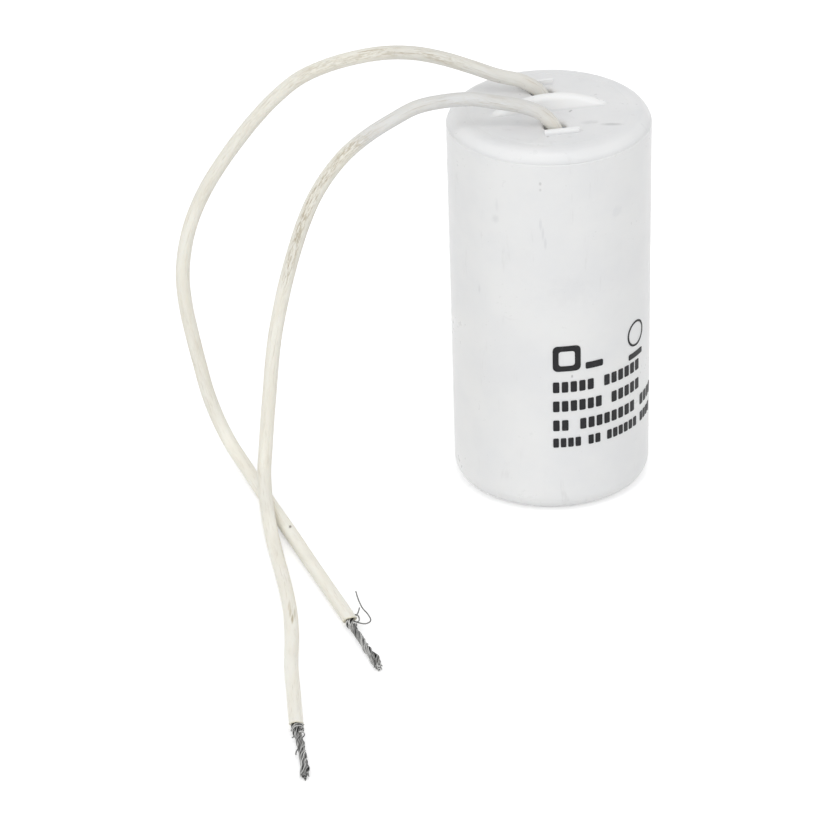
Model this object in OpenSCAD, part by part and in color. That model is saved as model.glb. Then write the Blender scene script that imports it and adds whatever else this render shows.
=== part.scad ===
// Motor run capacitor: a wound film roll potted in a round plastic case, under a welded cover
// that lets two flexible leads out. Millimetres, +Z up, origin at the middle of the base.
// The leads arch over the left side, cross on the ground and lie out to the front.

/* [Case] */
// Diameter of the case at its mouth
case_d = 36; // [34:0.5:38]
// Height from the base to the cover's face
case_h = 71; // [70:0.5:76]
// How much smaller the radius is at the foot than at the mouth
draft = 0.8; // [0.3:0.1:1.2]
// Thickness of the case's wall
wall = 1.6; // [1.4:0.1:1.8]
// Thickness of the case's floor
floor_t = 2; // [1.6:0.1:2.4]
// Radius of the rounding round the foot
foot_r = 3.4; // [2.5:0.1:4]
// Depth of the moulded recess under the floor
recess_depth = 0.4; // [0.2:0.1:0.6]

/* [Cover] */
// How far the seam between cover and case lies below the face
seam_drop = 2.1; // [2:0.1:2.4]
// Thickness of the cover's plate
cover_t = 3; // [2.9:0.1:3.4]
// Radius of the rounding round the cover's rim
rim_r = 2.9; // [2.8:0.1:3.2]
// Radius of the fine groove turned in the face
groove_r = 14.1; // [13:0.1:14.4]
// Width of the groove, which is much shallower than it is wide
groove_w = 0.8; // [0.6:0.1:1]
// How far the cover's features are turned about the axis
pattern_turn = 12.5; // [0:0.5:45]

/* [Barrier between the leads] */
// Length of the arched wall where it leaves the face
barrier_l = 21.2; // [18:0.1:22]
// Height of the arched wall at its middle
barrier_h = 2.9; // [2:0.1:4]
// Thickness of the arched wall
barrier_t = 2; // [1.6:0.1:2.4]

/* [Lead outlets] */
// Distance of each outlet from the barrier's middle plane
outlet_reach = 6.8; // [6.6:0.1:7]
// Offset of each outlet along the barrier
outlet_shift = 0.4; // [0:0.1:0.6]
// Radius of the outlet's bore
outlet_r = 1.95; // [1.9:0.05:2]
// Radius of the outlet's flared mouth
mouth_r = 2.5; // [2.3:0.1:2.7]
// Length of the low lip outside each outlet
lip_l = 6.3; // [5:0.1:7]
// Height of the lip
lip_h = 0.85; // [0.6:0.05:1.2]
// Thickness of the lip
lip_t = 0.6; // [0.5:0.1:0.8]

/* [Winding] */
// Diameter of the film roll
winding_d = 29.2; // [28:0.2:29.6]
// Width of the film, which is the roll's length
film_w = 50; // [48:0.5:50]
// Outside diameter of the core tube
core_d = 8; // [7:0.5:9]
// Bore of the core tube
core_bore = 5.2; // [4:0.2:5.6]
// Thickness of the sprayed metal on each end of the roll
spray_t = 0.6; // [0.4:0.1:0.8]

/* [Leads] */
// Outside diameter of a lead's insulation
lead_d = 2.5; // [2.3:0.1:2.5]
// Diameter of the bare conductor
conductor_d = 1.2; // [1:0.1:1.3]
// Radius at which the potted lead bends
potted_bend_r = 4.8; // [4.5:0.1:5]
// Radius of a solder joint
solder_r = 2.6; // [2.4:0.1:2.8]

/* [Hidden] */

$fn = 96;
skin = 0.01;              // how far a cutting shape runs past the surface that it cuts

case_r = case_d / 2;
foot_outer_r = case_r - draft;
seam_z = case_h - seam_drop;
seam_chamfer = 0.2;
groove_depth = 0.06;
rebate_wall = 1.2;        // wall left outside the cover's skirt
skirt_drop = 2.7;         // how far the skirt reaches below the seam
skirt_t = 1.4;
skirt_r = case_r - rebate_wall;
skirt_z = seam_z - skirt_drop;
recess_r = 11.5;
gate_r = 1.2;             // nub left by the moulding gate, shorter than the recess is deep
gate_h = 0.25;
cavity_corner_r = 2;

barrier_edge_r = 0.9;     // rounding along the top of the barrier
barrier_arc_r = (pow(barrier_l / 2, 2) + pow(barrier_h, 2)) / (2 * barrier_h);
barrier_arc_z = case_h + barrier_h - barrier_arc_r;
barrier_depth = 5;        // radial depth of the arched wall, most of it inside the plate
barrier_half_angle = asin(barrier_l / 2 / barrier_arc_r) + 1;
barrier_fillet_r = 0.25;
barrier_fillet_l = 18;
barrier_root = 1;         // how far the barrier is let into the plate
lip_shift = 0.15;         // offset of each lip along the barrier
lip_reach = outlet_reach + 3.1;

pack_z = 5.8;             // underside of the wound pack
pack_r = winding_d / 2;
pack_h = film_w + 2 * spray_t;
pack_top = pack_z + pack_h;
core_r = core_d / 2;
resin_top = skirt_z;
potted_straight = 0.6;    // what the front lead runs straight down before it bends
arc_steps = 5;            // stretches in each of its two bends
tail_bend_r = 1.6;        // bend where a stripped conductor turns along the sprayed end
tail_strip_z = 61.6;      // where the rear lead's inner insulation ends
tail_gap = 1.6;           // from the sprayed end to the middle of the conductor lying along it
rear_joint_r = 10.8;      // distance of each solder joint from the axis
front_joint_r = 7;
tail_past_joint = 1;

CASE_WHITE = "#E8E8E6";
COVER_WHITE = "#E4E4E2";
LEAD_CREAM = "#E9E5D8";
TINNED = "#8E8F90";

// Where each lead passes the resin's surface, under its outlet
rear_root = [-0.5, 6.7];
front_root = [1.7, -6.7];

lead_sides = 8;
potted_sides = 16;
// Route of the rear lead from the resin's surface, up through its outlet, over the left side
// and out along the ground
rear_route = [
    [rear_root.x, rear_root.y, resin_top], [rear_root.x, rear_root.y, 67.8],
    [-0.8, 6.7, 69.6], [-1.7, 6.7, 71.2], [-3.2, 6.8, 72.4], [-5.2, 6.9, 73.3],
    [-9, 7, 74.2], [-13.5, 7.2, 75.8], [-18.5, 7.4, 77.4], [-23.5, 7.5, 78.4],
    [-28.7, 7.5, 78.5], [-34, 7.5, 77.6], [-39, 7.4, 76.1], [-43.7, 7.3, 73.8],
    [-47.7, 7.2, 70.4], [-51.4, 7.1, 66.3], [-54.8, 7, 61.8], [-58, 6.8, 57.1],
    [-60.8, 6.6, 52.2], [-63, 6.4, 47], [-64.4, 6.2, 41.6], [-65, 6, 35.9],
    [-64.6, 5.8, 30.1], [-63.6, 5.7, 24.3], [-62.4, 5.6, 18.5], [-61.1, 5.4, 12.8],
    [-59.3, 4.7, 7.7], [-57, 2.2, 3.9], [-54, -3.5, 1.9], [-50.9, -11.9, 1.3],
    [-46.1, -25.6, 1.3], [-41.5, -39.1, 1.3], [-36.9, -52.3, 1.3], [-35.2, -57.3, 1.3]
];
// Route of the front lead, which comes to ground on top of the rear one
front_route = [
    [front_root.x, front_root.y, resin_top], [front_root.x, front_root.y, 67.8],
    [1.4, -6.7, 69.6], [0.5, -6.7, 71.5], [-0.9, -6.7, 73.1], [-2.7, -6.8, 74.2],
    [-5.2, -6.8, 75], [-8.7, -6.9, 75.7], [-13.5, -7.1, 76.5], [-18.4, -7.3, 76.2],
    [-23.1, -7.4, 75.1], [-27.5, -7.5, 72.6], [-31.6, -7.6, 69.8], [-35.4, -7.7, 66.4],
    [-38.6, -7.8, 62.3], [-41.2, -7.8, 57.7], [-43.2, -7.9, 52.7], [-44.8, -7.9, 47.5],
    [-46.2, -7.9, 42.2], [-47.4, -8, 36.8], [-48.4, -8, 31.4], [-49.1, -8.1, 25.9],
    [-49.6, -8.2, 20.4], [-50.1, -8.5, 15], [-50.5, -9.6, 10], [-50.8, -11.6, 6.2],
    [-50.6, -15.7, 4.2], [-50.1, -21, 2.9], [-49.2, -27.5, 1.6], [-48.2, -34.3, 1.3],
    [-46.7, -44.1, 1.3], [-45.5, -54, 1.3], [-45, -63.8, 1.3], [-44.9, -73.7, 1.3],
    [-44.3, -83.4, 1.3], [-43.7, -93, 1.3]
];
// Routes of the stripped ends, which sag to the ground
rear_bare_route = [
    [-35.2, -57.3, 1.3], [-34.6, -59.1, 1.3], [-33.4, -62.9, 1.1], [-32.1, -66.9, 0.9],
    [-30.8, -70.8, 0.8], [-29.7, -74.3, 0.8]
];
front_bare_route = [
    [-43.7, -93, 1.3], [-43.6, -94.9, 1.3], [-43.3, -99, 1.1], [-42.9, -103.4, 0.9],
    [-42.4, -107.8, 0.8], [-42, -111.8, 0.8]
];

// Outside radius of the case at a height
function outer_r(z) = foot_outer_r + draft * (z - foot_r) / (seam_z - foot_r);
function inner_r(z) = outer_r(z) - wall;

function unit(v) = v / norm(v);
// Direction of a route at its point i
function heading(route, i) = unit(route[min(i + 1, len(route) - 1)] - route[max(i - 1, 0)]);
// What is left of a vector square to a direction, as a unit vector
function squared(v, along) = unit(v - (v * along) * along);
// A side vector for each point of a route, carried along it without twist
function carried_sides(route) = [
    for (i = 0, side = squared([0, 1, 0], heading(route, 0));
         i < len(route);
         i = i + 1, side = i < len(route) ? squared(side, heading(route, i)) : side)
        side
];

// A round tube swept along a route, its first and last rings square to the end stretches
module swept_tube(route, tube_d, sides = lead_sides) {
    carried = carried_sides(route);
    last = len(route) - 1;
    points = [
        for (i = [0:last], k = [0:sides - 1])
            let (side = carried[i], other = cross(heading(route, i), side), turn = 360 * k / sides)
                route[i] + tube_d / 2 * (cos(turn) * side + sin(turn) * other)
    ];
    function at(i, k) = i * sides + k % sides;
    start_cap = [[for (k = [0:sides - 1]) at(0, k)]];
    end_cap = [[for (k = [sides - 1:-1:0]) at(last, k)]];
    skin_faces = [
        for (i = [0:last - 1], k = [0:sides - 1], half = [0, 1])
            half == 0
                ? [at(i, k), at(i + 1, k), at(i + 1, k + 1)]
                : [at(i, k), at(i + 1, k + 1), at(i, k + 1)]
    ];
    polyhedron(points, concat(start_cap, skin_faces, end_cap));
}

// Places its children on both sides of the barrier, half a turn apart
module both_sides() {
    for (turn = [0, 180]) rotate([0, 0, pattern_turn + turn]) children();
}

// Half section of the case's cavity up to a height, its lower corner rounded
module cavity_section(top_z) {
    corner_x = inner_r(floor_t) - cavity_corner_r;
    corner_z = floor_t + cavity_corner_r;
    polygon([
        [0, floor_t], [corner_x, floor_t], [corner_x, corner_z], [inner_r(corner_z), corner_z],
        [inner_r(top_z), top_z], [0, top_z]
    ]);
    translate([corner_x, corner_z]) circle(cavity_corner_r);
}

// Half section of the case's outside, with its rounded foot and chamfered mouth
module case_section() {
    foot_x = foot_outer_r - foot_r;
    difference() {
        union() {
            polygon([
                [0, 0], [foot_x, 0], [foot_x, foot_r], [foot_outer_r, foot_r],
                [outer_r(seam_z - seam_chamfer), seam_z - seam_chamfer],
                [case_r - seam_chamfer, seam_z], [0, seam_z]
            ]);
            translate([foot_x, foot_r]) circle(foot_r);
        }
        translate([0, -skin]) square([recess_r, recess_depth + skin]);
    }
}

module case() {
    color(CASE_WHITE) {
        rotate_extrude() difference() {
            case_section();
            cavity_section(skirt_z);
            translate([0, skirt_z]) square([skirt_r, skirt_drop + skin]);
        }
        translate([0, 0, recess_depth - gate_h]) cylinder(r = gate_r, h = gate_h);
    }
}

// Half section of the cover's plate, with its grooved face, rounded rim and skirt
module cover_section() {
    rim_x = case_r - rim_r;
    plate_z = case_h - cover_t;
    difference() {
        union() {
            translate([0, plate_z]) square([skirt_r - skirt_t, seam_z - plate_z + skin]);
            translate([0, seam_z]) square([rim_x, case_h - seam_z]);
            intersection() {
                translate([rim_x, case_h - rim_r]) circle(rim_r);
                polygon([
                    [0, seam_z], [case_r - seam_chamfer, seam_z], [case_r, seam_z + seam_chamfer],
                    [case_r, case_h], [0, case_h]
                ]);
            }
            translate([skirt_r - skirt_t, skirt_z]) square([skirt_t, seam_z - skirt_z + skin]);
        }
        groove_section();
    }
}

// Section of the shallow groove in the face, its two slopes run on past the face
module groove_section() {
    slope = groove_depth / (groove_w / 2);
    translate([groove_r, case_h - groove_depth])
        polygon([[0, 0], [groove_w, slope * groove_w], [-groove_w, slope * groove_w]]);
}

// The arched wall that keeps the leads apart: its rounded section turned about a level axis
module barrier() {
    inner = barrier_arc_r - barrier_depth;
    intersection() {
        translate([0, 0, barrier_arc_z])
            rotate([90, 0, 0])
                rotate([0, 0, 90 - barrier_half_angle])
                    rotate_extrude(angle = 2 * barrier_half_angle) {
                        translate([inner, -barrier_t / 2])
                            square([barrier_depth - barrier_edge_r, barrier_t]);
                        translate([inner, barrier_edge_r - barrier_t / 2])
                            square([barrier_depth, barrier_t - 2 * barrier_edge_r]);
                        for (side = [-1, 1])
                            translate([barrier_arc_r - barrier_edge_r, side * (barrier_t / 2 - barrier_edge_r)])
                                circle(barrier_edge_r);
                    }
        translate([-barrier_l, -barrier_l, case_h - barrier_root])
            cube([2 * barrier_l, 2 * barrier_l, barrier_h + 2 * barrier_root]);
    }
    for (side = [-1, 1]) scale([1, side, 1]) barrier_fillet();
}

// Hollow fillet between the barrier's side and the face
module barrier_fillet() {
    rotate([90, 0, 90])
        linear_extrude(height = barrier_fillet_l, center = true)
            translate([barrier_t / 2 - skin, case_h - skin]) difference() {
                square(barrier_fillet_r);
                translate([barrier_fillet_r, barrier_fillet_r]) circle(barrier_fillet_r);
            }
}

// Bore of a lead's outlet, flaring to its mouth with a rounded edge
module outlet_cut() {
    flare = mouth_r - outlet_r;
    rotate_extrude() difference() {
        translate([0, case_h - cover_t - skin]) square([mouth_r, cover_t + 2 * skin]);
        translate([mouth_r, case_h - flare]) circle(flare);
        translate([outlet_r, case_h - cover_t - 2 * skin]) square([flare + skin, cover_t - flare + 2 * skin]);
    }
}

// Low lip with round ends on the outer side of an outlet
module lip() {
    straight = lip_l - lip_t;
    translate([0, 0, case_h - skin]) {
        translate([-straight / 2, -lip_t / 2, 0]) cube([straight, lip_t, lip_h + skin]);
        for (end = [-1, 1]) translate([end * straight / 2, 0, 0]) cylinder(d = lip_t, h = lip_h + skin);
    }
}

module cover() {
    color(COVER_WHITE) {
        difference() {
            rotate_extrude() cover_section();
            both_sides() translate([-outlet_shift, -outlet_reach, 0]) outlet_cut();
        }
        rotate([0, 0, pattern_turn]) barrier();
        both_sides() translate([lip_shift, -lip_reach, 0]) lip();
    }
}

// A round ring standing on a height
module ring(outer, inner, base_z, height) {
    translate([0, 0, base_z]) difference() {
        cylinder(r = outer, h = height);
        translate([0, 0, -skin]) cylinder(r = inner, h = height + 2 * skin);
    }
}

module winding() {
    color("#D9DCE0") ring(pack_r, core_r, pack_z + spray_t, film_w);
}

module core_tube() {
    color("#F2F2EE") ring(core_r, core_bore / 2, pack_z, pack_h);
}

module bottom_end_spray() {
    color("#A7A9AB") ring(pack_r, core_r, pack_z, spray_t);
}

module top_end_spray() {
    color("#A7A9AB") ring(pack_r, core_r, pack_top - spray_t, spray_t);
}

// A quarter turn of bare wire that comes down at -X and ends heading for +X
module quarter_bend() {
    rotate([90, 0, 0]) rotate([0, 0, 180])
        rotate_extrude(angle = 90) translate([tail_bend_r, 0]) circle(d = conductor_d);
}

// Turns its children's +X towards a point on plan
module towards(point) {
    rotate([0, 0, atan2(point.y, point.x)]) children();
}

// The front lead's potted stretch: an S of two arcs from its outlet to the axis, then down the core
module front_lead_root() {
    reach = norm(front_root);
    bend_angle = acos(1 - reach / 2 / potted_bend_r);
    bend_top = resin_top - potted_straight;
    axis_z = bend_top - 2 * potted_bend_r * sin(bend_angle);
    arc = [for (i = [0:arc_steps]) let (turn = bend_angle * i / arc_steps)
        potted_bend_r * [1 - cos(turn), 0, sin(turn)]];
    upper_arc = [for (step = arc) [reach - step.x, 0, bend_top - step.z]];
    lower_arc = [for (i = [arc_steps - 1:-1:0]) arc[i] + [0, 0, axis_z]];
    route = concat([[reach, 0, resin_top]], upper_arc, lower_arc, [[0, 0, pack_z]]);
    color(LEAD_CREAM) towards(front_root) swept_tube(route, lead_d, potted_sides);
}

// The rear lead's potted stretch, straight down towards the roll's upper end
module rear_lead_root() {
    color(LEAD_CREAM)
        translate([rear_root.x, rear_root.y, tail_strip_z]) cylinder(d = lead_d, h = resin_top - tail_strip_z);
}

// A stripped conductor that comes down at one distance from the axis and turns outwards
module tail(start_r, strip_z, lying_z, end_r) {
    bend_z = lying_z + tail_bend_r;
    translate([start_r, 0, bend_z]) cylinder(d = conductor_d, h = strip_z - bend_z);
    translate([start_r + tail_bend_r, 0, bend_z]) quarter_bend();
    translate([start_r + tail_bend_r, 0, lying_z]) rotate([0, 90, 0])
        cylinder(d = conductor_d, h = end_r - start_r - tail_bend_r);
}

module rear_lead_tail() {
    color(TINNED) towards(rear_root)
        tail(norm(rear_root), tail_strip_z, pack_top + tail_gap, rear_joint_r + tail_past_joint);
}

// The front lead's conductor turns outwards right below the core tube
module front_lead_tail() {
    lying_z = pack_z - tail_bend_r;
    color(TINNED) {
        translate([tail_bend_r, 0, pack_z]) quarter_bend();
        translate([tail_bend_r, 0, lying_z]) rotate([0, 90, 0])
            cylinder(d = conductor_d, h = front_joint_r + tail_past_joint - tail_bend_r);
    }
}

// Half a ball of solder on a sprayed end, round the conductor that lies in it
module solder_dome(joint_r, face_z, up) {
    intersection() {
        translate([joint_r, 0, face_z]) sphere(solder_r);
        translate([joint_r - solder_r, -solder_r, up ? face_z : face_z - solder_r])
            cube([2 * solder_r, 2 * solder_r, solder_r]);
    }
}

module rear_solder_joint() {
    color("#B4B6B8") difference() {
        towards(rear_root) solder_dome(rear_joint_r, pack_top, true);
        rear_lead_tail();
    }
}

module front_solder_joint() {
    color("#B4B6B8") difference() {
        solder_dome(front_joint_r, pack_z, false);
        front_lead_tail();
    }
}

// Resin round everything in the case, and in the core tube's bore beside the lead
module potting_resin() {
    color("#5A5C58") difference() {
        rotate_extrude() cavity_section(resin_top);
        ring(pack_r, core_bore / 2, pack_z, pack_h);
        rear_lead_root();
        front_lead_root();
        rear_lead_tail();
        front_lead_tail();
        towards(rear_root) solder_dome(rear_joint_r, pack_top, true);
        solder_dome(front_joint_r, pack_z, false);
    }
}

module rear_lead() {
    color(LEAD_CREAM) swept_tube(rear_route, lead_d);
}

module front_lead() {
    color(LEAD_CREAM) swept_tube(front_route, lead_d);
}

module rear_lead_strands() {
    color(TINNED) swept_tube(rear_bare_route, conductor_d);
}

module front_lead_strands() {
    color(TINNED) swept_tube(front_bare_route, conductor_d);
}

case();
cover();
winding();
core_tube();
bottom_end_spray();
top_end_spray();
potting_resin();
rear_lead();
front_lead();
rear_lead_root();
front_lead_root();
rear_lead_strands();
front_lead_strands();
rear_lead_tail();
front_lead_tail();
rear_solder_joint();
front_solder_joint();
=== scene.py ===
"""Looks of a motor run capacitor.

A moulded white case under a welded cover, two cream leads that arch over the left side and lie
out to the front with stripped ends, plain marks in black ink, and the pieces potted inside.
Metres, +Z up, origin in the middle of the case's foot.
"""

import logging
import math
from collections.abc import Sequence
from dataclasses import dataclass
from enum import Enum

import bpy
import numpy as np
from mathutils import Matrix, Vector


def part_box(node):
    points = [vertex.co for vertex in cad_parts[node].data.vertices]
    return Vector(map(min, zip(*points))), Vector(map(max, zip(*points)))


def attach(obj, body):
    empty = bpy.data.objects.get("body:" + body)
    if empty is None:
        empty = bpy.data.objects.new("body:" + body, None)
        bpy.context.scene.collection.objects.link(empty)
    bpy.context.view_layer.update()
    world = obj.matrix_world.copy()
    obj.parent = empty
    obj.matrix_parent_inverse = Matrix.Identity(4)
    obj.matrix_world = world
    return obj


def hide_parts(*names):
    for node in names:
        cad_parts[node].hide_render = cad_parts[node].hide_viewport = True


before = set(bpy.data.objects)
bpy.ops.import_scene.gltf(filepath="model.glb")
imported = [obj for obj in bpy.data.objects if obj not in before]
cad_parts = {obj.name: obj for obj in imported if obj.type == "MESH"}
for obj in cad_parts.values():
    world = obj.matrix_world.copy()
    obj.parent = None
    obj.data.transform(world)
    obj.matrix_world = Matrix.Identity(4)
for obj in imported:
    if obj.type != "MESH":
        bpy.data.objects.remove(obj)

MM = 0.001
ROOT = "root"

Colour = tuple[float, float, float]
Point = tuple[float, float, float]
Span = tuple[float, float]

log = logging.getLogger("capacitor")


def mm(*lengths: float) -> tuple[float, ...]:
    """Millimetres as metres."""
    return tuple(length * MM for length in lengths)


def show(name: str, data: bpy.types.ID) -> bpy.types.Object:
    """Puts a mesh, a lamp or a camera into the scene, as an object at the origin."""
    thing = bpy.data.objects.new(name, data)
    bpy.context.scene.collection.objects.link(thing)
    return thing


# --- Shader arithmetic ---


class Signal:
    """One number carried through a shader. Python's operators add the Math nodes that work it out."""

    def __init__(self, board: "ShaderBoard", socket: bpy.types.NodeSocket) -> None:
        """Wraps an output socket.

        Args:
            board: the shader that the socket belongs to.
            socket: the output that carries the number.
        """
        self.board = board
        self.socket = socket

    def _math(self, operation: str, *terms: "Signal | float", clamp: bool = False) -> "Signal":
        """Adds one Math node.

        Args:
            operation: the Math node's operation.
            terms: its inputs, in order.
            clamp: whether the result is held between 0 and 1.

        Returns:
            The node's result.
        """
        inputs = dict(enumerate(terms))
        return self.board.node("ShaderNodeMath", {"operation": operation, "use_clamp": clamp}, inputs)

    def __add__(self, other: "Signal | float") -> "Signal":
        """The sum of two numbers."""
        return self._math("ADD", self, other)

    __radd__ = __add__

    def __sub__(self, other: "Signal | float") -> "Signal":
        """This number less another."""
        return self._math("SUBTRACT", self, other)

    def __rsub__(self, other: float) -> "Signal":
        """Another number less this one."""
        return self._math("SUBTRACT", other, self)

    def __mul__(self, other: "Signal | float") -> "Signal":
        """The product of two numbers."""
        return self._math("MULTIPLY", self, other)

    __rmul__ = __mul__

    def __truediv__(self, other: "Signal | float") -> "Signal":
        """This number divided by another."""
        return self._math("DIVIDE", self, other)

    def higher_of(self, other: "Signal | float") -> "Signal":
        """The larger of two numbers."""
        return self._math("MAXIMUM", self, other)

    def ramp(self, start: float, end: float) -> "Signal":
        """A smooth rise from 0 where this number is start to 1 where it is end; start may be the larger.

        Args:
            start: the value that gives 0.
            end: the value that gives 1.

        Returns:
            A number from 0 to 1.
        """
        share = (self - start) / (end - start)
        held = share._math("ADD", share, 0.0, clamp=True)
        return held * held * (3.0 - 2.0 * held)

    def band(self, outer: Span, inner: Span) -> "Signal":
        """1 between two inner limits, and smoothly down to 0 at the outer ones.

        Args:
            outer: where it reaches 0, below and above.
            inner: where it leaves 1, below and above.

        Returns:
            A number from 0 to 1.
        """
        return self.ramp(outer[0], inner[0]) * self.ramp(outer[1], inner[1])


class ShaderBoard:
    """A material's or a world's node tree, with one method that adds any node."""

    def __init__(self, owner: bpy.types.Material | bpy.types.World) -> None:
        """Clears the owner's nodes and gives it an output.

        Args:
            owner: the material or world.
        """
        owner.use_nodes = True
        kind = "Material" if isinstance(owner, bpy.types.Material) else "World"
        self.owner = owner
        self.tree = owner.node_tree
        self.tree.nodes.clear()
        self.output = self.tree.nodes.new(f"ShaderNodeOutput{kind}")

    @classmethod
    def material(cls, name: str) -> "ShaderBoard":
        """The board of a new material."""
        return cls(bpy.data.materials.new(name))

    def raw(
        self, kind: str, settings: dict[str, object] | None = None,
        inputs: dict[int | str, object] | None = None,
    ) -> bpy.types.Node:
        """Adds a node, gives it its settings, then its sockets.

        Args:
            kind: the node's type.
            settings: its properties.
            inputs: values, signals or sockets by input name or number.

        Returns:
            The node.
        """
        node = self.tree.nodes.new(kind)
        for name, value in (settings or {}).items():
            setattr(node, name, value)
        for name, value in (inputs or {}).items():
            socket = node.inputs[name]
            if isinstance(value, Signal):
                self.tree.links.new(value.socket, socket)
            elif isinstance(value, bpy.types.NodeSocket):
                self.tree.links.new(value, socket)
            elif isinstance(value, tuple) and socket.type == "RGBA":
                socket.default_value = (*value, 1.0)
            else:
                socket.default_value = value
        return node

    def node(
        self, kind: str, settings: dict[str, object] | None = None,
        inputs: dict[int | str, object] | None = None, output: int | str = 0,
    ) -> Signal:
        """Adds a node and returns one of its outputs.

        Args:
            kind: the node's type.
            settings: its properties.
            inputs: values, signals or sockets by input name or number.
            output: the output's name or number.

        Returns:
            That output, ready for arithmetic.
        """
        return Signal(self, self.raw(kind, settings, inputs).outputs[output])

    def place(self) -> bpy.types.NodeSocket:
        """Object coordinates, in metres."""
        return self.node("ShaderNodeTexCoord", output="Object").socket

    def length(self, vector: bpy.types.NodeSocket) -> Signal:
        """A vector's length."""
        return self.node("ShaderNodeVectorMath", {"operation": "LENGTH"}, {0: vector}, "Value")

    def from_axis(self, place: bpy.types.NodeSocket) -> Signal:
        """How far a place lies from the can's axis, in metres."""
        return self.length(self.stretched(place, (1.0, 1.0, 0.0)))

    def attribute(self, name: str, output: str = "Vector") -> Signal:
        """A value stored on the piece's own points."""
        return self.node("ShaderNodeAttribute", {"attribute_name": name}, output=output)

    def stretched(
        self, vector: bpy.types.NodeSocket, scale: Point, shift: Point = (0, 0, 0), turn: Point = (0, 0, 0),
    ) -> bpy.types.NodeSocket:
        """A coordinate moved by shift, turned and scaled.

        Args:
            vector: the coordinate.
            scale: factors along X, Y and Z.
            shift: what is added after the turn and the scale.
            turn: angles about X, Y and Z.

        Returns:
            The changed coordinate.
        """
        inputs = {"Vector": vector, "Scale": scale, "Location": shift, "Rotation": turn}
        return self.node("ShaderNodeMapping", {"vector_type": "POINT"}, inputs).socket

    def noise(
        self, vector: bpy.types.NodeSocket, scale: float, detail: float = 3.0, roughness: float = 0.55,
        warp: float = 0.0,
    ) -> Signal:
        """Fractal noise around 0.5.

        Args:
            vector: where it is read.
            scale: how many of its lumps fit in a unit.
            detail: how many finer layers it has.
            roughness: how strong the finer layers are.
            warp: how far it is distorted.

        Returns:
            The noise's value.
        """
        inputs = {"Vector": vector, "Scale": scale, "Detail": detail, "Roughness": roughness,
                  "Distortion": warp}
        return self.node("ShaderNodeTexNoise", {"noise_dimensions": "3D"}, inputs, "Fac")

    def drawn(
        self, vector: bpy.types.NodeSocket, scale: Point, detail: float = 3.0, roughness: float = 0.55,
        warp: float = 0.0, shift: Point = (0, 0, 0),
    ) -> Signal:
        """Fractal noise around 0.5, drawn out or pressed together along each axis.

        Args:
            vector: where it is read.
            scale: how many of its lumps fit in a unit of X, Y and Z.
            detail: how many finer layers it has.
            roughness: how strong the finer layers are.
            warp: how far it is distorted.
            shift: how far it is moved, so that it differs from another.

        Returns:
            The noise's value.
        """
        return self.noise(self.stretched(vector, scale, shift), 1.0, detail, roughness, warp)

    def blend(self, share: "Signal | float", below: object, above: object, mode: str = "MIX") -> Signal:
        """Mixes two colours.

        Args:
            share: how much of the second colour shows.
            below: the first colour.
            above: the second colour.
            mode: the way they are mixed.

        Returns:
            The mixed colour.
        """
        settings = {"data_type": "RGBA", "blend_type": mode, "clamp_factor": True}
        return self.node("ShaderNodeMix", settings, {0: share, 6: below, 7: above}, 2)

    def distance(self, vector: bpy.types.NodeSocket, centre: Point, reach: Point) -> Signal:
        """How far a place is from a centre, counted in reaches along each axis.

        Args:
            vector: the place.
            centre: the centre, in the same units.
            reach: the size of one step along X, Y and Z.

        Returns:
            0 at the centre and 1 on the ellipsoid whose half axes are the reaches.
        """
        away = self.node("ShaderNodeVectorMath", {"operation": "SUBTRACT"}, {0: vector, 1: centre}, 0)
        steps = self.node("ShaderNodeVectorMath", {"operation": "DIVIDE"}, {0: away, 1: reach}, 0)
        return self.length(steps.socket)

    def bump(self, height: Signal, depth: float, strength: float = 1.0) -> Signal:
        """A bumped normal.

        Args:
            height: the relief, from 0 to 1.
            depth: how far 1 stands above 0, in metres.
            strength: how much of it shows.

        Returns:
            The normal.
        """
        inputs = {"Height": height, "Distance": depth, "Strength": strength}
        return self.node("ShaderNodeBump", None, inputs, "Normal")

    def surface(self, **sockets: object) -> bpy.types.Material:
        """Ends the material in one Principled shader.

        Args:
            sockets: its inputs, with underscores for spaces.

        Returns:
            The material.
        """
        inputs = {name.replace("_", " "): value for name, value in sockets.items()}
        return self.finish(self.raw("ShaderNodeBsdfPrincipled", None, inputs))

    def finish(self, shader: bpy.types.Node) -> bpy.types.Material | bpy.types.World:
        """Joins a shader to the output.

        Args:
            shader: the node whose first output is shown.

        Returns:
            The material or world.
        """
        self.tree.links.new(shader.outputs[0], self.output.inputs["Surface"])
        return self.owner

    def direct_look(self) -> Signal:
        """1 for a ray that comes straight from the camera, a mirror or a glass, and 0 for others."""
        path = self.raw("ShaderNodeLightPath")
        rays = ("Is Camera Ray", "Is Glossy Ray", "Is Transmission Ray")
        camera, gloss, glass = (Signal(self, path.outputs[ray]) for ray in rays)
        return camera.higher_of(gloss).higher_of(glass)


# --- Finishes ---


@dataclass(frozen=True)
class TintPatch:
    """A patch of tint, in millimetres of the row's frame: most are dirt, a few are painted shade or painted
    light.
    """

    centre: Point
    reach: Point
    tint: Colour
    strength: float
    broken: float = 0.5

    def cover(self, board: ShaderBoard, place: bpy.types.NodeSocket, cloud: Signal) -> Signal:
        """How strongly the patch shows at each place.

        Args:
            board: the shader that it is added to.
            place: Object coordinates.
            cloud: noise that breaks the patch's edge.

        Returns:
            A number from 0 to the patch's strength.
        """
        away = board.distance(place, mm(*self.centre), mm(*self.reach)) + (cloud - 0.5) * (2.0 * self.broken)
        return away.ramp(1.0, 0.25) * self.strength


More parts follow.
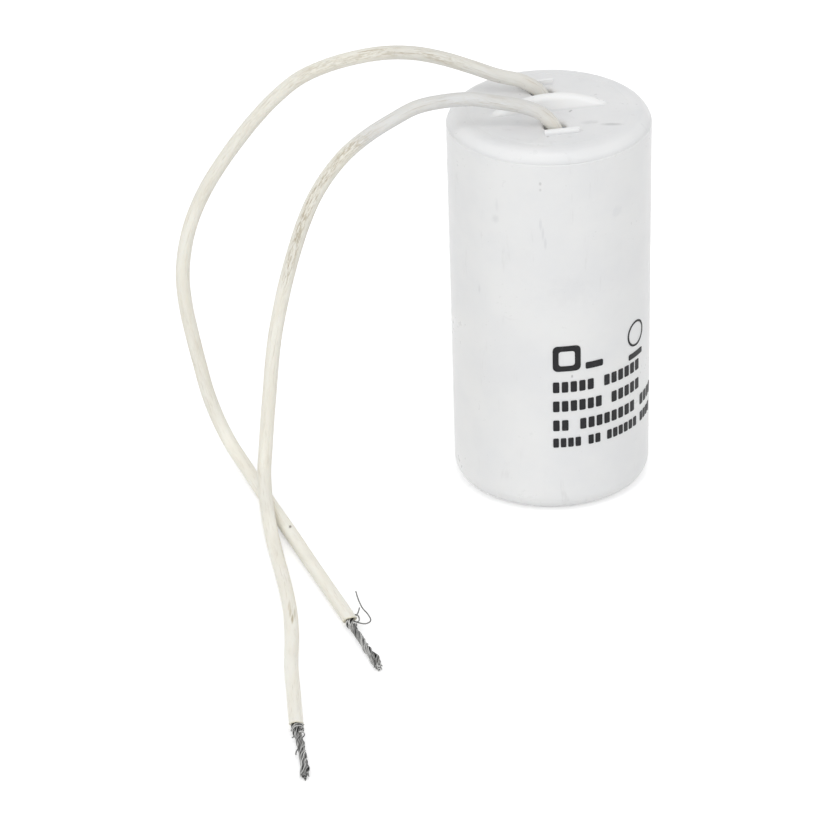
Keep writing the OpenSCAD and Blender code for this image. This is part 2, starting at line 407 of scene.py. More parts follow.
@dataclass(frozen=True)
class MouldedPlastic:
    """White plastic with a satin skin, faint handling marks, specks, patches of tint and painted highlights.

    "raised_from" is the height above which the moulding stands proud and gets a painted highlight, and
    "seam" is the height of the weld between case and cover, both in millimetres. A painted highlight also
    runs along the rim's crest above the seam, and painted light fills the shade of the seam's fine line.
    "clouded" to the last share say how strongly each mark and each painted light shows.
    """

    name: str
    base: Colour
    shade: Colour
    tint_patches: tuple[TintPatch, ...]
    speck: Colour = (0.42, 0.40, 0.38)
    # pale colour of the painted highlight on raised features and along the rim's crest
    rubbed: Colour = (0.90, 0.90, 0.895)
    # paler colour of the painted light that fills the shade of the seam's fine line
    seam_light: Colour = (0.96, 0.96, 0.955)
    clouded: float = 0.6
    smeared: float = 0.22
    scuffed: float = 0.11
    specked: float = 0.32
    raised_highlight: float = 0.8
    crest_highlight: float = 0.2
    seam_highlight: float = 0.15
    roughness: float = 0.30
    turned_rings: float = 0.0
    raised_from: float = 1000.0
    seam: float = 68.9

    def build(self) -> bpy.types.Material:
        """Makes the material."""
        board = ShaderBoard.material(self.name)
        place = board.place()
        clouds = board.noise(place, 70.0, 4.0, 0.6)
        fine = board.noise(place, 900.0, 3.0, 0.6)
        slanted = board.stretched(place, (1.0, 1.0, 6.0), turn=(0.9, 0.4, 0.3))
        scuffs = board.noise(slanted, 210.0, 5.0, 0.7, 0.6)
        colour = board.blend(clouds.ramp(0.36, 0.70) * self.clouded, self.base, self.shade)
        colour = self._handled(board, place, colour, clouds, scuffs)
        # painted highlights on raised features and the rim's crest, and painted light over the seam's shade
        colour = self._painted_light(board, place, colour)
        edge = board.noise(place, 640.0, 4.0, 0.65)
        for tint_patch in self.tint_patches:
            colour = board.blend(tint_patch.cover(board, place, edge), colour, tint_patch.tint)
        rings = self._rings(board, place, clouds)
        colour = board.blend(rings.ramp(0.50, 0.30) * 0.5 * self.turned_rings, colour, self.shade)
        relief = fine * 0.5 + scuffs * 0.3 + rings * self.turned_rings
        return board.surface(
            Base_Color=colour, Roughness=self.roughness + (fine - 0.5) * 0.10 + (clouds - 0.5) * 0.12,
            IOR=1.49, Specular_IOR_Level=0.35,
            Subsurface_Weight=0.3, Subsurface_Radius=(1.0, 0.95, 0.9), Subsurface_Scale=0.0012,
            Normal=board.bump(relief, 0.00001, 0.6),
        )

    def _handled(
        self, board: ShaderBoard, place: bpy.types.NodeSocket, colour: Signal, clouds: Signal, scuffs: Signal,
    ) -> Signal:
        """Adds upright smears, slanted scuffs and patches of specks.

        Args:
            board: the shader that they are added to.
            place: Object coordinates.
            colour: the clean plastic.
            clouds: noise that makes the smears come and go.
            scuffs: the scuffs' noise.

        Returns:
            The marked colour.
        """
        upright = board.stretched(place, (1.0, 1.0, 0.16), turn=(0.25, 0.12, 0.0))
        smears = board.noise(upright, 420.0, 4.0, 0.62, 0.4).ramp(0.60, 0.74) * clouds.ramp(0.42, 0.6)
        patches = board.noise(place, 160.0, 2.0).ramp(0.46, 0.60)
        specks = board.noise(place, 1900.0, 1.0, 0.4).ramp(0.75, 0.82) * patches
        marks = ((smears, self.smeared), (scuffs.ramp(0.64, 0.76), self.scuffed), (specks, self.specked))
        for mark, strength in marks:
            colour = board.blend(mark * strength, colour, self.speck)
        return colour

    def _painted_light(self, board: ShaderBoard, place: bpy.types.NodeSocket, colour: Signal) -> Signal:
        """Paints a highlight onto what stands proud and along the rim's crest above the seam, and light over
        the shade of the seam's own fine line.

        Args:
            board: the shader that is changed.
            place: Object coordinates.
            colour: the plastic with its marks.

        Returns:
            The changed colour.
        """
        height = board.node("ShaderNodeSeparateXYZ", None, {0: place}, "Z")
        seam = self.seam
        # painted highlight above raised_from, painted highlight on the rim's crest, painted light in the
        # seam's shade
        raised = height.ramp(*mm(self.raised_from, self.raised_from + 0.4))
        crest = height.band(mm(seam + 0.3, seam + 2.0), mm(seam + 0.9, seam + 1.5))
        groove = height.band(mm(seam - 0.24, seam + 0.24), mm(seam - 0.1, seam + 0.1))
        colour = board.blend(raised * self.raised_highlight, colour, self.rubbed)
        colour = board.blend(crest * self.crest_highlight, colour, self.rubbed)
        return board.blend(groove * self.seam_highlight, colour, self.seam_light)

    @staticmethod
    def _rings(board: ShaderBoard, place: bpy.types.NodeSocket, clouds: Signal) -> Signal:
        """Fine rings left round the weld: noise read along the distance from the axis.

        Args:
            board: the shader that they are added to.
            place: Object coordinates.
            clouds: noise that makes them come and go.

        Returns:
            The rings' relief, 0.5 where there are none.
        """
        reach = board.from_axis(place)
        along = board.node("ShaderNodeCombineXYZ", None, {0: reach}).socket
        where = reach.band(mm(12.4, 17.0), mm(13.4, 16.0)) * clouds.ramp(0.35, 0.65)
        return 0.5 + (board.noise(along, 1500.0, 2.0) - 0.5) * where


@dataclass(frozen=True)
class CreamInsulation:
    """Soft extruded insulation, cream, streaked and specked with brown along its length, and darkened by
    painted shade over set stretches.

    "hazed" to "yellowed" say how strongly each mark shows.
    """

    name: str
    base: Colour = (0.87, 0.84, 0.745)
    pale: Colour = (0.91, 0.89, 0.81)
    dirt: Colour = (0.34, 0.26, 0.165)
    soot: Colour = (0.10, 0.095, 0.09)
    rust: Colour = (0.50, 0.36, 0.22)
    cut_edge: Colour = (0.66, 0.60, 0.40)
    # colours of the painted shade: a cool grey, then a plain grey, both multiplied over the skin
    shade_tint: Colour = (0.77, 0.79, 0.86)
    dull: Colour = (0.78, 0.78, 0.775)
    ground_in: Colour = (0.41, 0.35, 0.24)
    tint_patches: tuple[TintPatch, ...] = ()
    rubbed: float = 0.75
    hazed: float = 0.20
    sooted: float = 0.6
    rusted: float = 0.08
    yellowed: float = 0.5
    roughness: float = 0.44

    def build(self) -> bpy.types.Material:
        """Makes the material.

        "lead_place" is a point's place round the wire and along it, in millimetres; "lead_gone" and
        "lead_left" are how far it lies from the lead's two ends; "lead_grey" and the next attribute say how
        much painted shade greys and dims the skin there, and "lead_brown" how much it is rubbed brown.
        """
        board = ShaderBoard.material(self.name)
        place = board.attribute("lead_place").socket
        left, gone, grey, dull, brown = (
            board.attribute(f"lead_{name}", "Fac") for name in ("left", "gone", "grey", "dull", "brown")
        )
        drift = board.drawn(place, (0.5, 0.5, 0.09))
        colour = board.blend(drift.ramp(0.35, 0.65), self.base, self.pale)
        # painted shade: the skin greys, cools and dims along set stretches of the lead
        colour = board.blend(grey, colour, self.shade_tint, "MULTIPLY")
        colour = board.blend(dull, colour, self.dull, "MULTIPLY")
        grain = board.drawn(place, (4.6, 4.6, 0.75), 4.0, 0.65, 0.2)
        colour = self._streaked(board, place, colour, grain, brown)
        blotches = board.drawn(place, (0.8, 0.8, 0.5))
        root = gone.ramp(13.0, 5.0) * blotches.ramp(0.35, 0.65)
        colour = board.blend(root * self.rusted, colour, self.rust)
        colour = board.blend(left.ramp(0.35, 0.0) * self.yellowed, colour, self.cut_edge)
        spot = board.place()
        for tint_patch in self.tint_patches:
            colour = board.blend(tint_patch.cover(board, spot, grain), colour, tint_patch.tint)
        lines = board.drawn(place, (4.0, 4.0, 0.12))
        pits = board.noise(place, 2.2, 3.0)
        return board.surface(
            Base_Color=colour, Roughness=self.roughness + (pits - 0.5) * 0.16,
            IOR=1.5, Specular_IOR_Level=0.25,
            Subsurface_Weight=0.08, Subsurface_Radius=(0.9, 0.7, 0.5), Subsurface_Scale=0.0008,
            Normal=board.bump(lines * 0.5 + pits * 0.5, 0.00003, 0.7),
        )

    def _streaked(
        self, board: ShaderBoard, place: bpy.types.NodeSocket, colour: Signal, grain: Signal, brown: Signal,
    ) -> Signal:
        """Adds ground-in brown, fine dashes, a haze and specks of soot, all drawn out along the wire.

        Args:
            board: the shader that they are added to.
            place: the place round the wire and along it.
            colour: the clean insulation.
            grain: the noise of the ground-in brown.
            brown: how much the skin is rubbed brown.

        Returns:
            The dirty colour.
        """
        worn = board.drawn(place, (0.35, 0.35, 0.055), 2.0, shift=(3.0, 1.0, 5.0))
        uneven = board.drawn(place, (0.9, 0.9, 0.16), 3.0, 0.6, shift=(5.0, 3.0, 2.0))
        ground = grain.ramp(0.42, 0.60) * brown * uneven.ramp(0.36, 0.56)
        colour = board.blend(ground * self.rubbed, colour, self.ground_in)
        streaks = board.drawn(place, (3.6, 3.6, 0.20), 5.0, 0.66, 0.15)
        dashes = streaks.ramp(0.55, 0.64) * worn.ramp(0.42, 0.56) * (0.22 + brown * 0.6)
        colour = board.blend(dashes, colour, self.dirt)
        haze = board.drawn(place, (1.1, 1.1, 0.16), 4.0, 0.6, shift=(7.0, 2.0, 0.0))
        colour = board.blend(haze.ramp(0.52, 0.78) * self.hazed, colour, self.dirt)
        blackening = board.drawn(place, (3.4, 3.4, 1.3), 2.0, shift=(1.0, 8.0, 2.0))
        return board.blend(blackening.ramp(0.71, 0.80) * worn.ramp(0.40, 0.60) * self.sooted, colour, self.soot)


@dataclass(frozen=True)
class TinnedWire:
    """Tinned copper strands, each a little lighter or darker than the next, made dull by handling, with
    painted shade in the gaps between them.
    """

    name: str
    dark: Colour = (0.15, 0.15, 0.148)
    bright: Colour = (0.66, 0.66, 0.645)
    brown: Colour = (0.20, 0.15, 0.11)
    # the near-black of the painted shade in the gaps between strands
    blackening: Colour = (0.035, 0.034, 0.033)

    def build(self) -> bpy.types.Material:
        """Makes the material.

        "strand_tone" is each strand's own shade, from 0 to 1, and "strand_face" is 1 where a strand
        faces out of its bundle and less towards the gaps, where painted shade darkens it.
        """
        board = ShaderBoard.material(self.name)
        place = board.place()
        tone = board.attribute("strand_tone", "Fac")
        blotch = board.noise(place, 1400.0, 3.0, 0.6)
        colour = board.blend(tone * 0.75 + blotch * 0.5 - 0.12, self.dark, self.bright)
        tarnish = board.noise(place, 520.0, 2.0)
        colour = board.blend(tarnish.ramp(0.62, 0.78) * 0.35, colour, self.brown)
        # painted shade: each strand darkens towards the gaps where its neighbours shade it
        gap = board.attribute("strand_face", "Fac").ramp(0.62, -0.1)
        colour = board.blend(gap * 0.9, colour, self.blackening)
        scratches = board.noise(place, 5200.0, 2.0)
        return board.surface(
            Base_Color=colour, Metallic=0.9, Roughness=0.30 + blotch * 0.2,
            Normal=board.bump(scratches, 0.000008, 0.5),
        )


@dataclass(frozen=True)
class PrintInk:
    """Thin black pad-printed ink, a little worn and grey where it is thin."""

    name: str
    full: Colour = (0.014, 0.014, 0.016)
    thin: Colour = (0.05, 0.05, 0.053)

    def build(self) -> bpy.types.Material:
        """Makes the material."""
        board = ShaderBoard.material(self.name)
        place = board.place()
        wear = board.noise(place, 1100.0, 4.0, 0.65)
        patch = board.noise(place, 190.0, 2.0)
        colour = board.blend(wear.ramp(0.50, 0.72) * patch.ramp(0.35, 0.7), self.full, self.thin)
        return board.surface(
            Base_Color=colour, Roughness=0.46 + (wear - 0.5) * 0.2, Specular_IOR_Level=0.25,
            Normal=board.bump(wear, 0.000004, 0.5),
        )


@dataclass(frozen=True)
class HiddenStock:
    """A potted piece's material: two shades, their grain, and how rough and metallic it is."""

    name: str
    light: Colour
    dark: Colour
    grain: float
    stretch: Point = (1.0, 1.0, 1.0)
    roughness: float = 0.5
    metallic: float = 0.0
    relief: float = 0.00003

    def build(self) -> bpy.types.Material:
        """Makes the material."""
        board = ShaderBoard.material(self.name)
        place = board.stretched(board.place(), self.stretch)
        grain = board.noise(place, self.grain, 5.0, 0.62)
        colour = board.blend(grain.ramp(0.32, 0.68), self.dark, self.light)
        return board.surface(
            Base_Color=colour, Roughness=self.roughness + (grain - 0.5) * 0.2, Metallic=self.metallic,
            Normal=board.bump(grain, self.relief, 0.8),
        )


@dataclass(frozen=True)
class WoundFilm:
    """The film roll's cut edges and outer turn: fine rings round the roll's axis."""

    name: str
    light: Colour = (0.70, 0.72, 0.75)
    dark: Colour = (0.46, 0.49, 0.53)

    def build(self) -> bpy.types.Material:
        """Makes the material. Its rings follow the distance from the axis."""
        board = ShaderBoard.material(self.name)
        place = board.place()
        turns = board.from_axis(place) * 42000.0
        rings = board.node("ShaderNodeMath", {"operation": "SINE"}, {0: turns})
        wander = board.noise(place, 300.0, 3.0)
        share = (rings * 0.5 + 0.5) * 0.6 + wander * 0.4
        colour = board.blend(share, self.dark, self.light)
        return board.surface(
            Base_Color=colour, Roughness=0.24 + wander * 0.2, Metallic=0.55,
            Normal=board.bump(share, 0.00002, 0.6),
        )


@dataclass(frozen=True)
class StudioFloor:
    """A white floor that the camera sees as white, apart from the object's own soft shadow."""

    name: str
    paint: Colour = (0.80, 0.80, 0.80)
    lift: float = 0.42

    def build(self) -> bpy.types.Material:
        """Makes the material: lit paint, plus an even lift that only direct looks can see."""
        board = ShaderBoard.material(self.name)
        paint = board.raw("ShaderNodeBsdfDiffuse", None, {"Color": self.paint})
        glow = board.raw("ShaderNodeEmission", None, {"Color": (1.0, 1.0, 1.0), "Strength": self.lift})
        both = board.raw("ShaderNodeAddShader", None, {0: paint.outputs[0], 1: glow.outputs[0]})
        inputs = {0: board.direct_look(), 1: paint.outputs[0], 2: both.outputs[0]}
        return board.finish(board.raw("ShaderNodeMixShader", None, inputs))


# --- Surfaces as arrays ---


class Ends(Enum):
    """How a tube of rings ends."""

    CAPPED = "capped"
    LOOPED = "looped"


class Shell:
    """Gathers closed tubes of rings and makes one mesh of them."""

    def __init__(self) -> None:
        """Starts with nothing."""
        self._points: list[np.ndarray] = []
        self._faces: list[np.ndarray] = []
        self._values: dict[str, list[np.ndarray]] = {}
        self._count = 0

    def add(self, rings: np.ndarray, ends: Ends = Ends.CAPPED, **values: np.ndarray) -> None:
        """Adds a tube: ring i, point j is joined to ring i + 1 and to point j + 1, which wraps round.

        A capped tube's end rings are each closed by a fan to their own middle. A looped tube's last
        ring is joined to its first. Faces are turned to point outwards by the sign of the volume.

        Args:
            rings: points as an array of rings by points by 3.
            ends: how the tube ends.
            values: named values for each point, as arrays of rings by points, or by points by 3.
        """
        count, sides = rings.shape[:2]
        grid = np.arange(count * sides).reshape(count, sides)
        if ends is Ends.LOOPED:
            grid = np.vstack([grid, grid[:1]])
        a, b = grid[:-1], grid[1:]
        quads = np.stack([a, np.roll(a, -1, 1), np.roll(b, -1, 1), b], -1).reshape(-1, 4)
        triangles = np.vstack([quads[:, [0, 1, 2]], quads[:, [0, 2, 3]]])
        points = rings.reshape(-1, 3)
        if ends is Ends.CAPPED:
            middle = count * sides
            points = np.vstack([points, rings[0].mean(0), rings[-1].mean(0)])
            first, last = grid[0], grid[-1]
            front = np.stack([np.roll(first, -1), first, np.full(sides, middle)], -1)
            back = np.stack([last, np.roll(last, -1), np.full(sides, middle + 1)], -1)
            triangles = np.vstack([triangles, front, back])
        corner = points[triangles] - points.mean(0)
        volume = np.einsum("ij,ij->i", corner[:, 0], np.cross(corner[:, 1], corner[:, 2])).sum()
        if volume < 0:
            triangles = triangles[:, ::-1]
        self._points.append(points)
        self._faces.append(triangles + self._count)
        self._count += len(points)
        for name, value in values.items():
            flat = value.reshape(count * sides, -1)
            if ends is Ends.CAPPED:
                flat = np.vstack([flat, flat[:sides].mean(0), flat[-sides:].mean(0)])
            self._values.setdefault(name, []).append(flat)

    def make(self, name: str, material: bpy.types.Material, sharp: float = 40.0) -> bpy.types.Object:
        """Makes the object.

        Args:
            name: its name.
            material: its material.
            sharp: the angle above which an edge stays hard, in degrees.

        Returns:
            The object, at the origin.
        """
        mesh = bpy.data.meshes.new(name)
        mesh.from_pydata(np.vstack(self._points), [], np.vstack(self._faces).tolist())
        for label, parts in self._values.items():
            value = np.vstack(parts)
            kind, field = ("FLOAT_VECTOR", "vector") if value.shape[1] == 3 else ("FLOAT", "value")
            store = mesh.attributes.new(label, kind, "POINT")
            store.data.foreach_set(field, value.astype(np.float32).ravel())
        mesh.shade_smooth()
        mesh.set_sharp_from_angle(angle=math.radians(sharp))
        mesh.materials.append(material)
        return show(name, mesh)


def unit(vectors: np.ndarray) -> np.ndarray:
    """Vectors scaled to length 1."""
    return vectors / np.linalg.norm(vectors, axis=-1, keepdims=True)


def slope(values: np.ndarray, start: float, end: float) -> np.ndarray:
    """A straight rise from 0 at start to 1 at end, and level outside; start may be the larger."""
    return np.clip((values - start) / (end - start), 0, 1)


def around(turn: np.ndarray, side: np.ndarray, other: np.ndarray) -> np.ndarray:
    """Directions square to a path: the turn's cosine along one side plus its sine along the other."""
    return np.cos(turn) * side + np.sin(turn) * other


def read_at(places: np.ndarray, run: np.ndarray, *tracks: np.ndarray) -> list[np.ndarray]:
    """Points or vectors along a path, read off in straight lines at other distances.

    Args:
        places: the distances at which they are read.
        run: the distance of each of a track's own points.
        tracks: arrays of points by 3.

    Returns:
        One array of places by 3 for each track.
    """
    return [np.stack([np.interp(places, run, track[:, axis]) for axis in range(3)], -1) for track in tracks]


def smooth_path(points: Sequence[Point], step: float) -> np.ndarray:
    """A smooth curve through points, as places at even steps.

    Each stretch is a Catmull-Rom cubic: it passes through its two points and heads, at each, along
    the line between that point's neighbours. The cubics are sampled finely, and the samples are then
    read off at equal distances.

    Args:
        points: the points, in metres.
        step: the distance between places.

    Returns:
        The places, as an array of places by 3.
    """
    knots = np.asarray(points, float)
    before = np.vstack([2 * knots[0] - knots[1], knots[:-1]])
    after = np.vstack([knots[1:], 2 * knots[-1] - knots[-2]])
    heading = (after - before) / 2
    t = np.linspace(0, 1, 40, endpoint=False)[:, None, None]
    a, b, da, db = knots[None, :-1], knots[None, 1:], heading[None, :-1], heading[None, 1:]
    curve = (
        (2 * t**3 - 3 * t**2 + 1) * a + (t**3 - 2 * t**2 + t) * da
        + (3 * t**2 - 2 * t**3) * b + (t**3 - t**2) * db
    )
    fine = np.vstack([curve.transpose(1, 0, 2).reshape(-1, 3), knots[-1:]])
    run = run_along(fine)
    even = np.linspace(0, run[-1], max(2, round(run[-1] / step) + 1))
    return read_at(even, run, fine)[0]


def run_along(path: np.ndarray) -> np.ndarray:
    """The distance along a path at each of its places."""
    return np.concatenate([[0.0], np.cumsum(np.linalg.norm(np.diff(path, axis=0), axis=1))])


def carried_frame(path: np.ndarray) -> tuple[np.ndarray, np.ndarray, np.ndarray]:
    """A path's heading and two side vectors, carried along it without twist.

    Each side vector is the one before it, less its part along the new heading.

    Args:
        path: places along a curve.

    Returns:
        The heading, the first side and the second side at each place.
    """
    heading = unit(np.gradient(path, axis=0))
    seed = np.eye(3)[np.argmin(np.abs(heading[0]))]
    side = np.empty_like(path)
    for place, ahead in enumerate(heading):
        seed = seed - (seed @ ahead) * ahead
        seed /= np.linalg.norm(seed)
        side[place] = seed
    return heading, side, np.cross(heading, side)


def swept(path: np.ndarray, radius: np.ndarray, sides: int) -> np.ndarray:
    """Rings of a round tube: at each place, a circle square to the path.

    Args:
        path: places along the tube's middle.
        radius: its radius at each place.
        sides: how many points each ring has.

    Returns:
        The rings, as an array of places by sides by 3.
    """
    _, side, other = carried_frame(path)
    turn = np.linspace(0, 2 * np.pi, sides, endpoint=False)[None, :, None]
    return path[:, None] + radius[:, None, None] * around(turn, side[:, None], other[:, None])


def ripple(rng: np.random.Generator, run: np.ndarray, wave: float, count: int = 3) -> np.ndarray:
    """A slow random wander: a sum of sines, each of its own length and start.

    Args:
        rng: the source of chance.
        run: where it is read.
        wave: the length of its longest wave.
        count: how many sines it has.

    Returns:
        Values of about -1 to 1.
    """
    starts = rng.uniform(0, 2 * np.pi, count)
    lengths = wave / rng.uniform(1.0, 2.6, count)
    return np.sin(run[:, None] * 2 * np.pi / lengths + starts).sum(1) / count


# --- Studio ---


@dataclass(frozen=True)
class Viewpoint:
    """Where the camera stands and how it is turned; angles in degrees."""

    distance: float = 1.7126
    elevation: float = 27.14
    aim_height: float = 0.03565
    turned_left: float = 0.81
    tipped_down: float = 0.73
    rolled_left: float = 0.48
    lens: float = 422.3

    def make(self) -> bpy.types.Object:
        """Makes the scene's camera.

        Returns:
            The camera object.
        """
        rise = math.radians(self.elevation)
        right, up = Vector((1, 0, 0)), Vector((0, math.sin(rise), math.cos(rise)))
        ahead = up.cross(right)
        swing = Matrix.Rotation(math.radians(self.turned_left), 3, up)
        ahead, right = swing @ ahead, swing @ right
        tip = Matrix.Rotation(-math.radians(self.tipped_down), 3, right)
        ahead, up = tip @ ahead, tip @ up
        lean = Matrix.Rotation(math.radians(self.rolled_left), 3, ahead)
        right, up = lean @ right, lean @ up
        data = bpy.data.cameras.new("camera")
        data.lens = self.lens
        data.sensor_width = 36.0
        data.clip_start, data.clip_end = 0.05, 20.0
        camera = show("camera", data)
        turned = Matrix((right, up, -ahead)).transposed().to_4x4()
        back, height = self.distance * math.cos(rise), self.distance * math.sin(rise)
        camera.matrix_world = Matrix.Translation((0, -back, height + self.aim_height)) @ turned
        bpy.context.scene.camera = camera
        return camera


@dataclass(frozen=True)
class SoftLamp:
    """A square area lamp that points at the object; angles in degrees."""

    name: str
    azimuth: float
    elevation: float
    distance: float
    size: float
    power: float
    colour: Colour

    def make(self, aim: Vector) -> None:
        """Makes the lamp.

        Args:
            aim: the point that it faces.
        """
        data = bpy.data.lights.new(self.name, "AREA")
        data.shape = "SQUARE"
        data.size = self.size
        data.energy = self.power
        data.color = self.colour
        turn, rise = math.radians(self.azimuth), math.radians(self.elevation)
        back = Vector((math.sin(turn) * math.cos(rise), -math.cos(turn) * math.cos(rise), math.sin(rise)))
        facing = back.to_track_quat("Z", "Y").to_matrix().to_4x4()
        show(self.name, data).matrix_world = Matrix.Translation(aim + back * self.distance) @ facing


@dataclass(frozen=True)
class Studio:
    """A white floor, a pale sky and soft lamps.

    The sky's strength is "zenith" overhead, with horizon_extra more at the horizon and front_extra
    more in the direction "front".
    """

    sky: Colour = (0.99, 0.995, 1.0)
    zenith: float = 0.70
    horizon_extra: float = 0.06
    front_extra: float = 0.99
    front: Point = (-0.18, -0.968, 0.174)
    floor_reach: float = 3.0
    aim: Point = (0.0, 0.0, 0.035)
    lamps: tuple[SoftLamp, ...] = (
        SoftLamp(
            "top_box", azimuth=4.0, elevation=72.0, distance=1.3, size=0.36, power=1.7,
            colour=(1.0, 0.995, 0.985),
        ),
    )

    def make(self) -> None:
        """Makes the floor, the sky and the lamps, and sets how colours are shown."""
        bpy.context.scene.view_settings.view_transform = "Standard"
        self._floor()
        self._sky()
        for lamp in self.lamps:
            lamp.make(Vector(self.aim))

    def _floor(self) -> None:
        """A level square centred under the object."""
        reach = self.floor_reach
        corners = [(-reach, -reach, 0), (reach, -reach, 0), (reach, reach, 0), (-reach, reach, 0)]
        mesh = bpy.data.meshes.new("floor")
        mesh.from_pydata(corners, [], [(0, 1, 2, 3)])
        mesh.materials.append(StudioFloor("floor_white").build())
        show("floor", mesh)

    def _sky(self) -> None:
        """A pale sky, brighter towards the horizon and the front, that looks white from the camera.

        Its strength is the zenith's, plus the horizon's extra times the squared cosine of the height,
        plus the front's extra times the cubed cosine of the angle from the front.
        """
        world = bpy.data.worlds.new("sky")
        bpy.context.scene.world = world
        board = ShaderBoard(world)
        toward = board.raw("ShaderNodeTexCoord").outputs["Generated"]
        rise = board.node("ShaderNodeSeparateXYZ", None, {0: toward}, "Z")
        facing = {"operation": "DOT_PRODUCT"}
        glow = board.node("ShaderNodeVectorMath", facing, {0: toward, 1: self.front}, "Value").higher_of(0.0)
        strength = self.zenith + self.horizon_extra * (1.0 - rise * rise)
        strength = strength + self.front_extra * glow * glow * glow
        lighting = board.raw("ShaderNodeBackground", None, {"Color": self.sky, "Strength": strength})
        white = board.raw("ShaderNodeBackground", None, {"Color": (1.0, 1.0, 1.0), "Strength": 1.0})
        inputs = {0: board.direct_look(), 1: lighting.outputs[0], 2: white.outputs[0]}
        board.finish(board.raw("ShaderNodeMixShader", None, inputs))


# --- Leads ---


@dataclass(frozen=True)
class Stray:
    """A strand that has left its bundle: its route in millimetres."""

    name: str
    route: tuple[Point, ...]


@dataclass(frozen=True)
class Wrap:
    """A strand wound round its bundle: its start and length along it, its turns and first angle."""

    start: float
    length: float
    turns: float
    angle: float


@dataclass(frozen=True)
class Unevenness:
    """How far strands twisted by hand stray from an even helix; lengths in millimetres.

    A strand's turn, its reach from the middle and the bundle's width each wander in waves. Past
    "loose_from" of the bundle's length it winds more slowly and spreads. Its cut end lies up to
    about "ends_differ" from the next, and is kicked aside by "kick" over its last kick_l.
    """

    turn: float = 0.35
    turn_wave: float = 9.0
    reach: float = 0.11
    swollen_reach: float = 0.10
    reach_wave: float = 7.0
    width: float = 0.10
    width_wave: float = 4.3
    loose_from: float = 0.62
    spread: float = 0.16
    ends_differ: float = 0.6
    kick: float = 0.16
    kick_l: float = 1.8


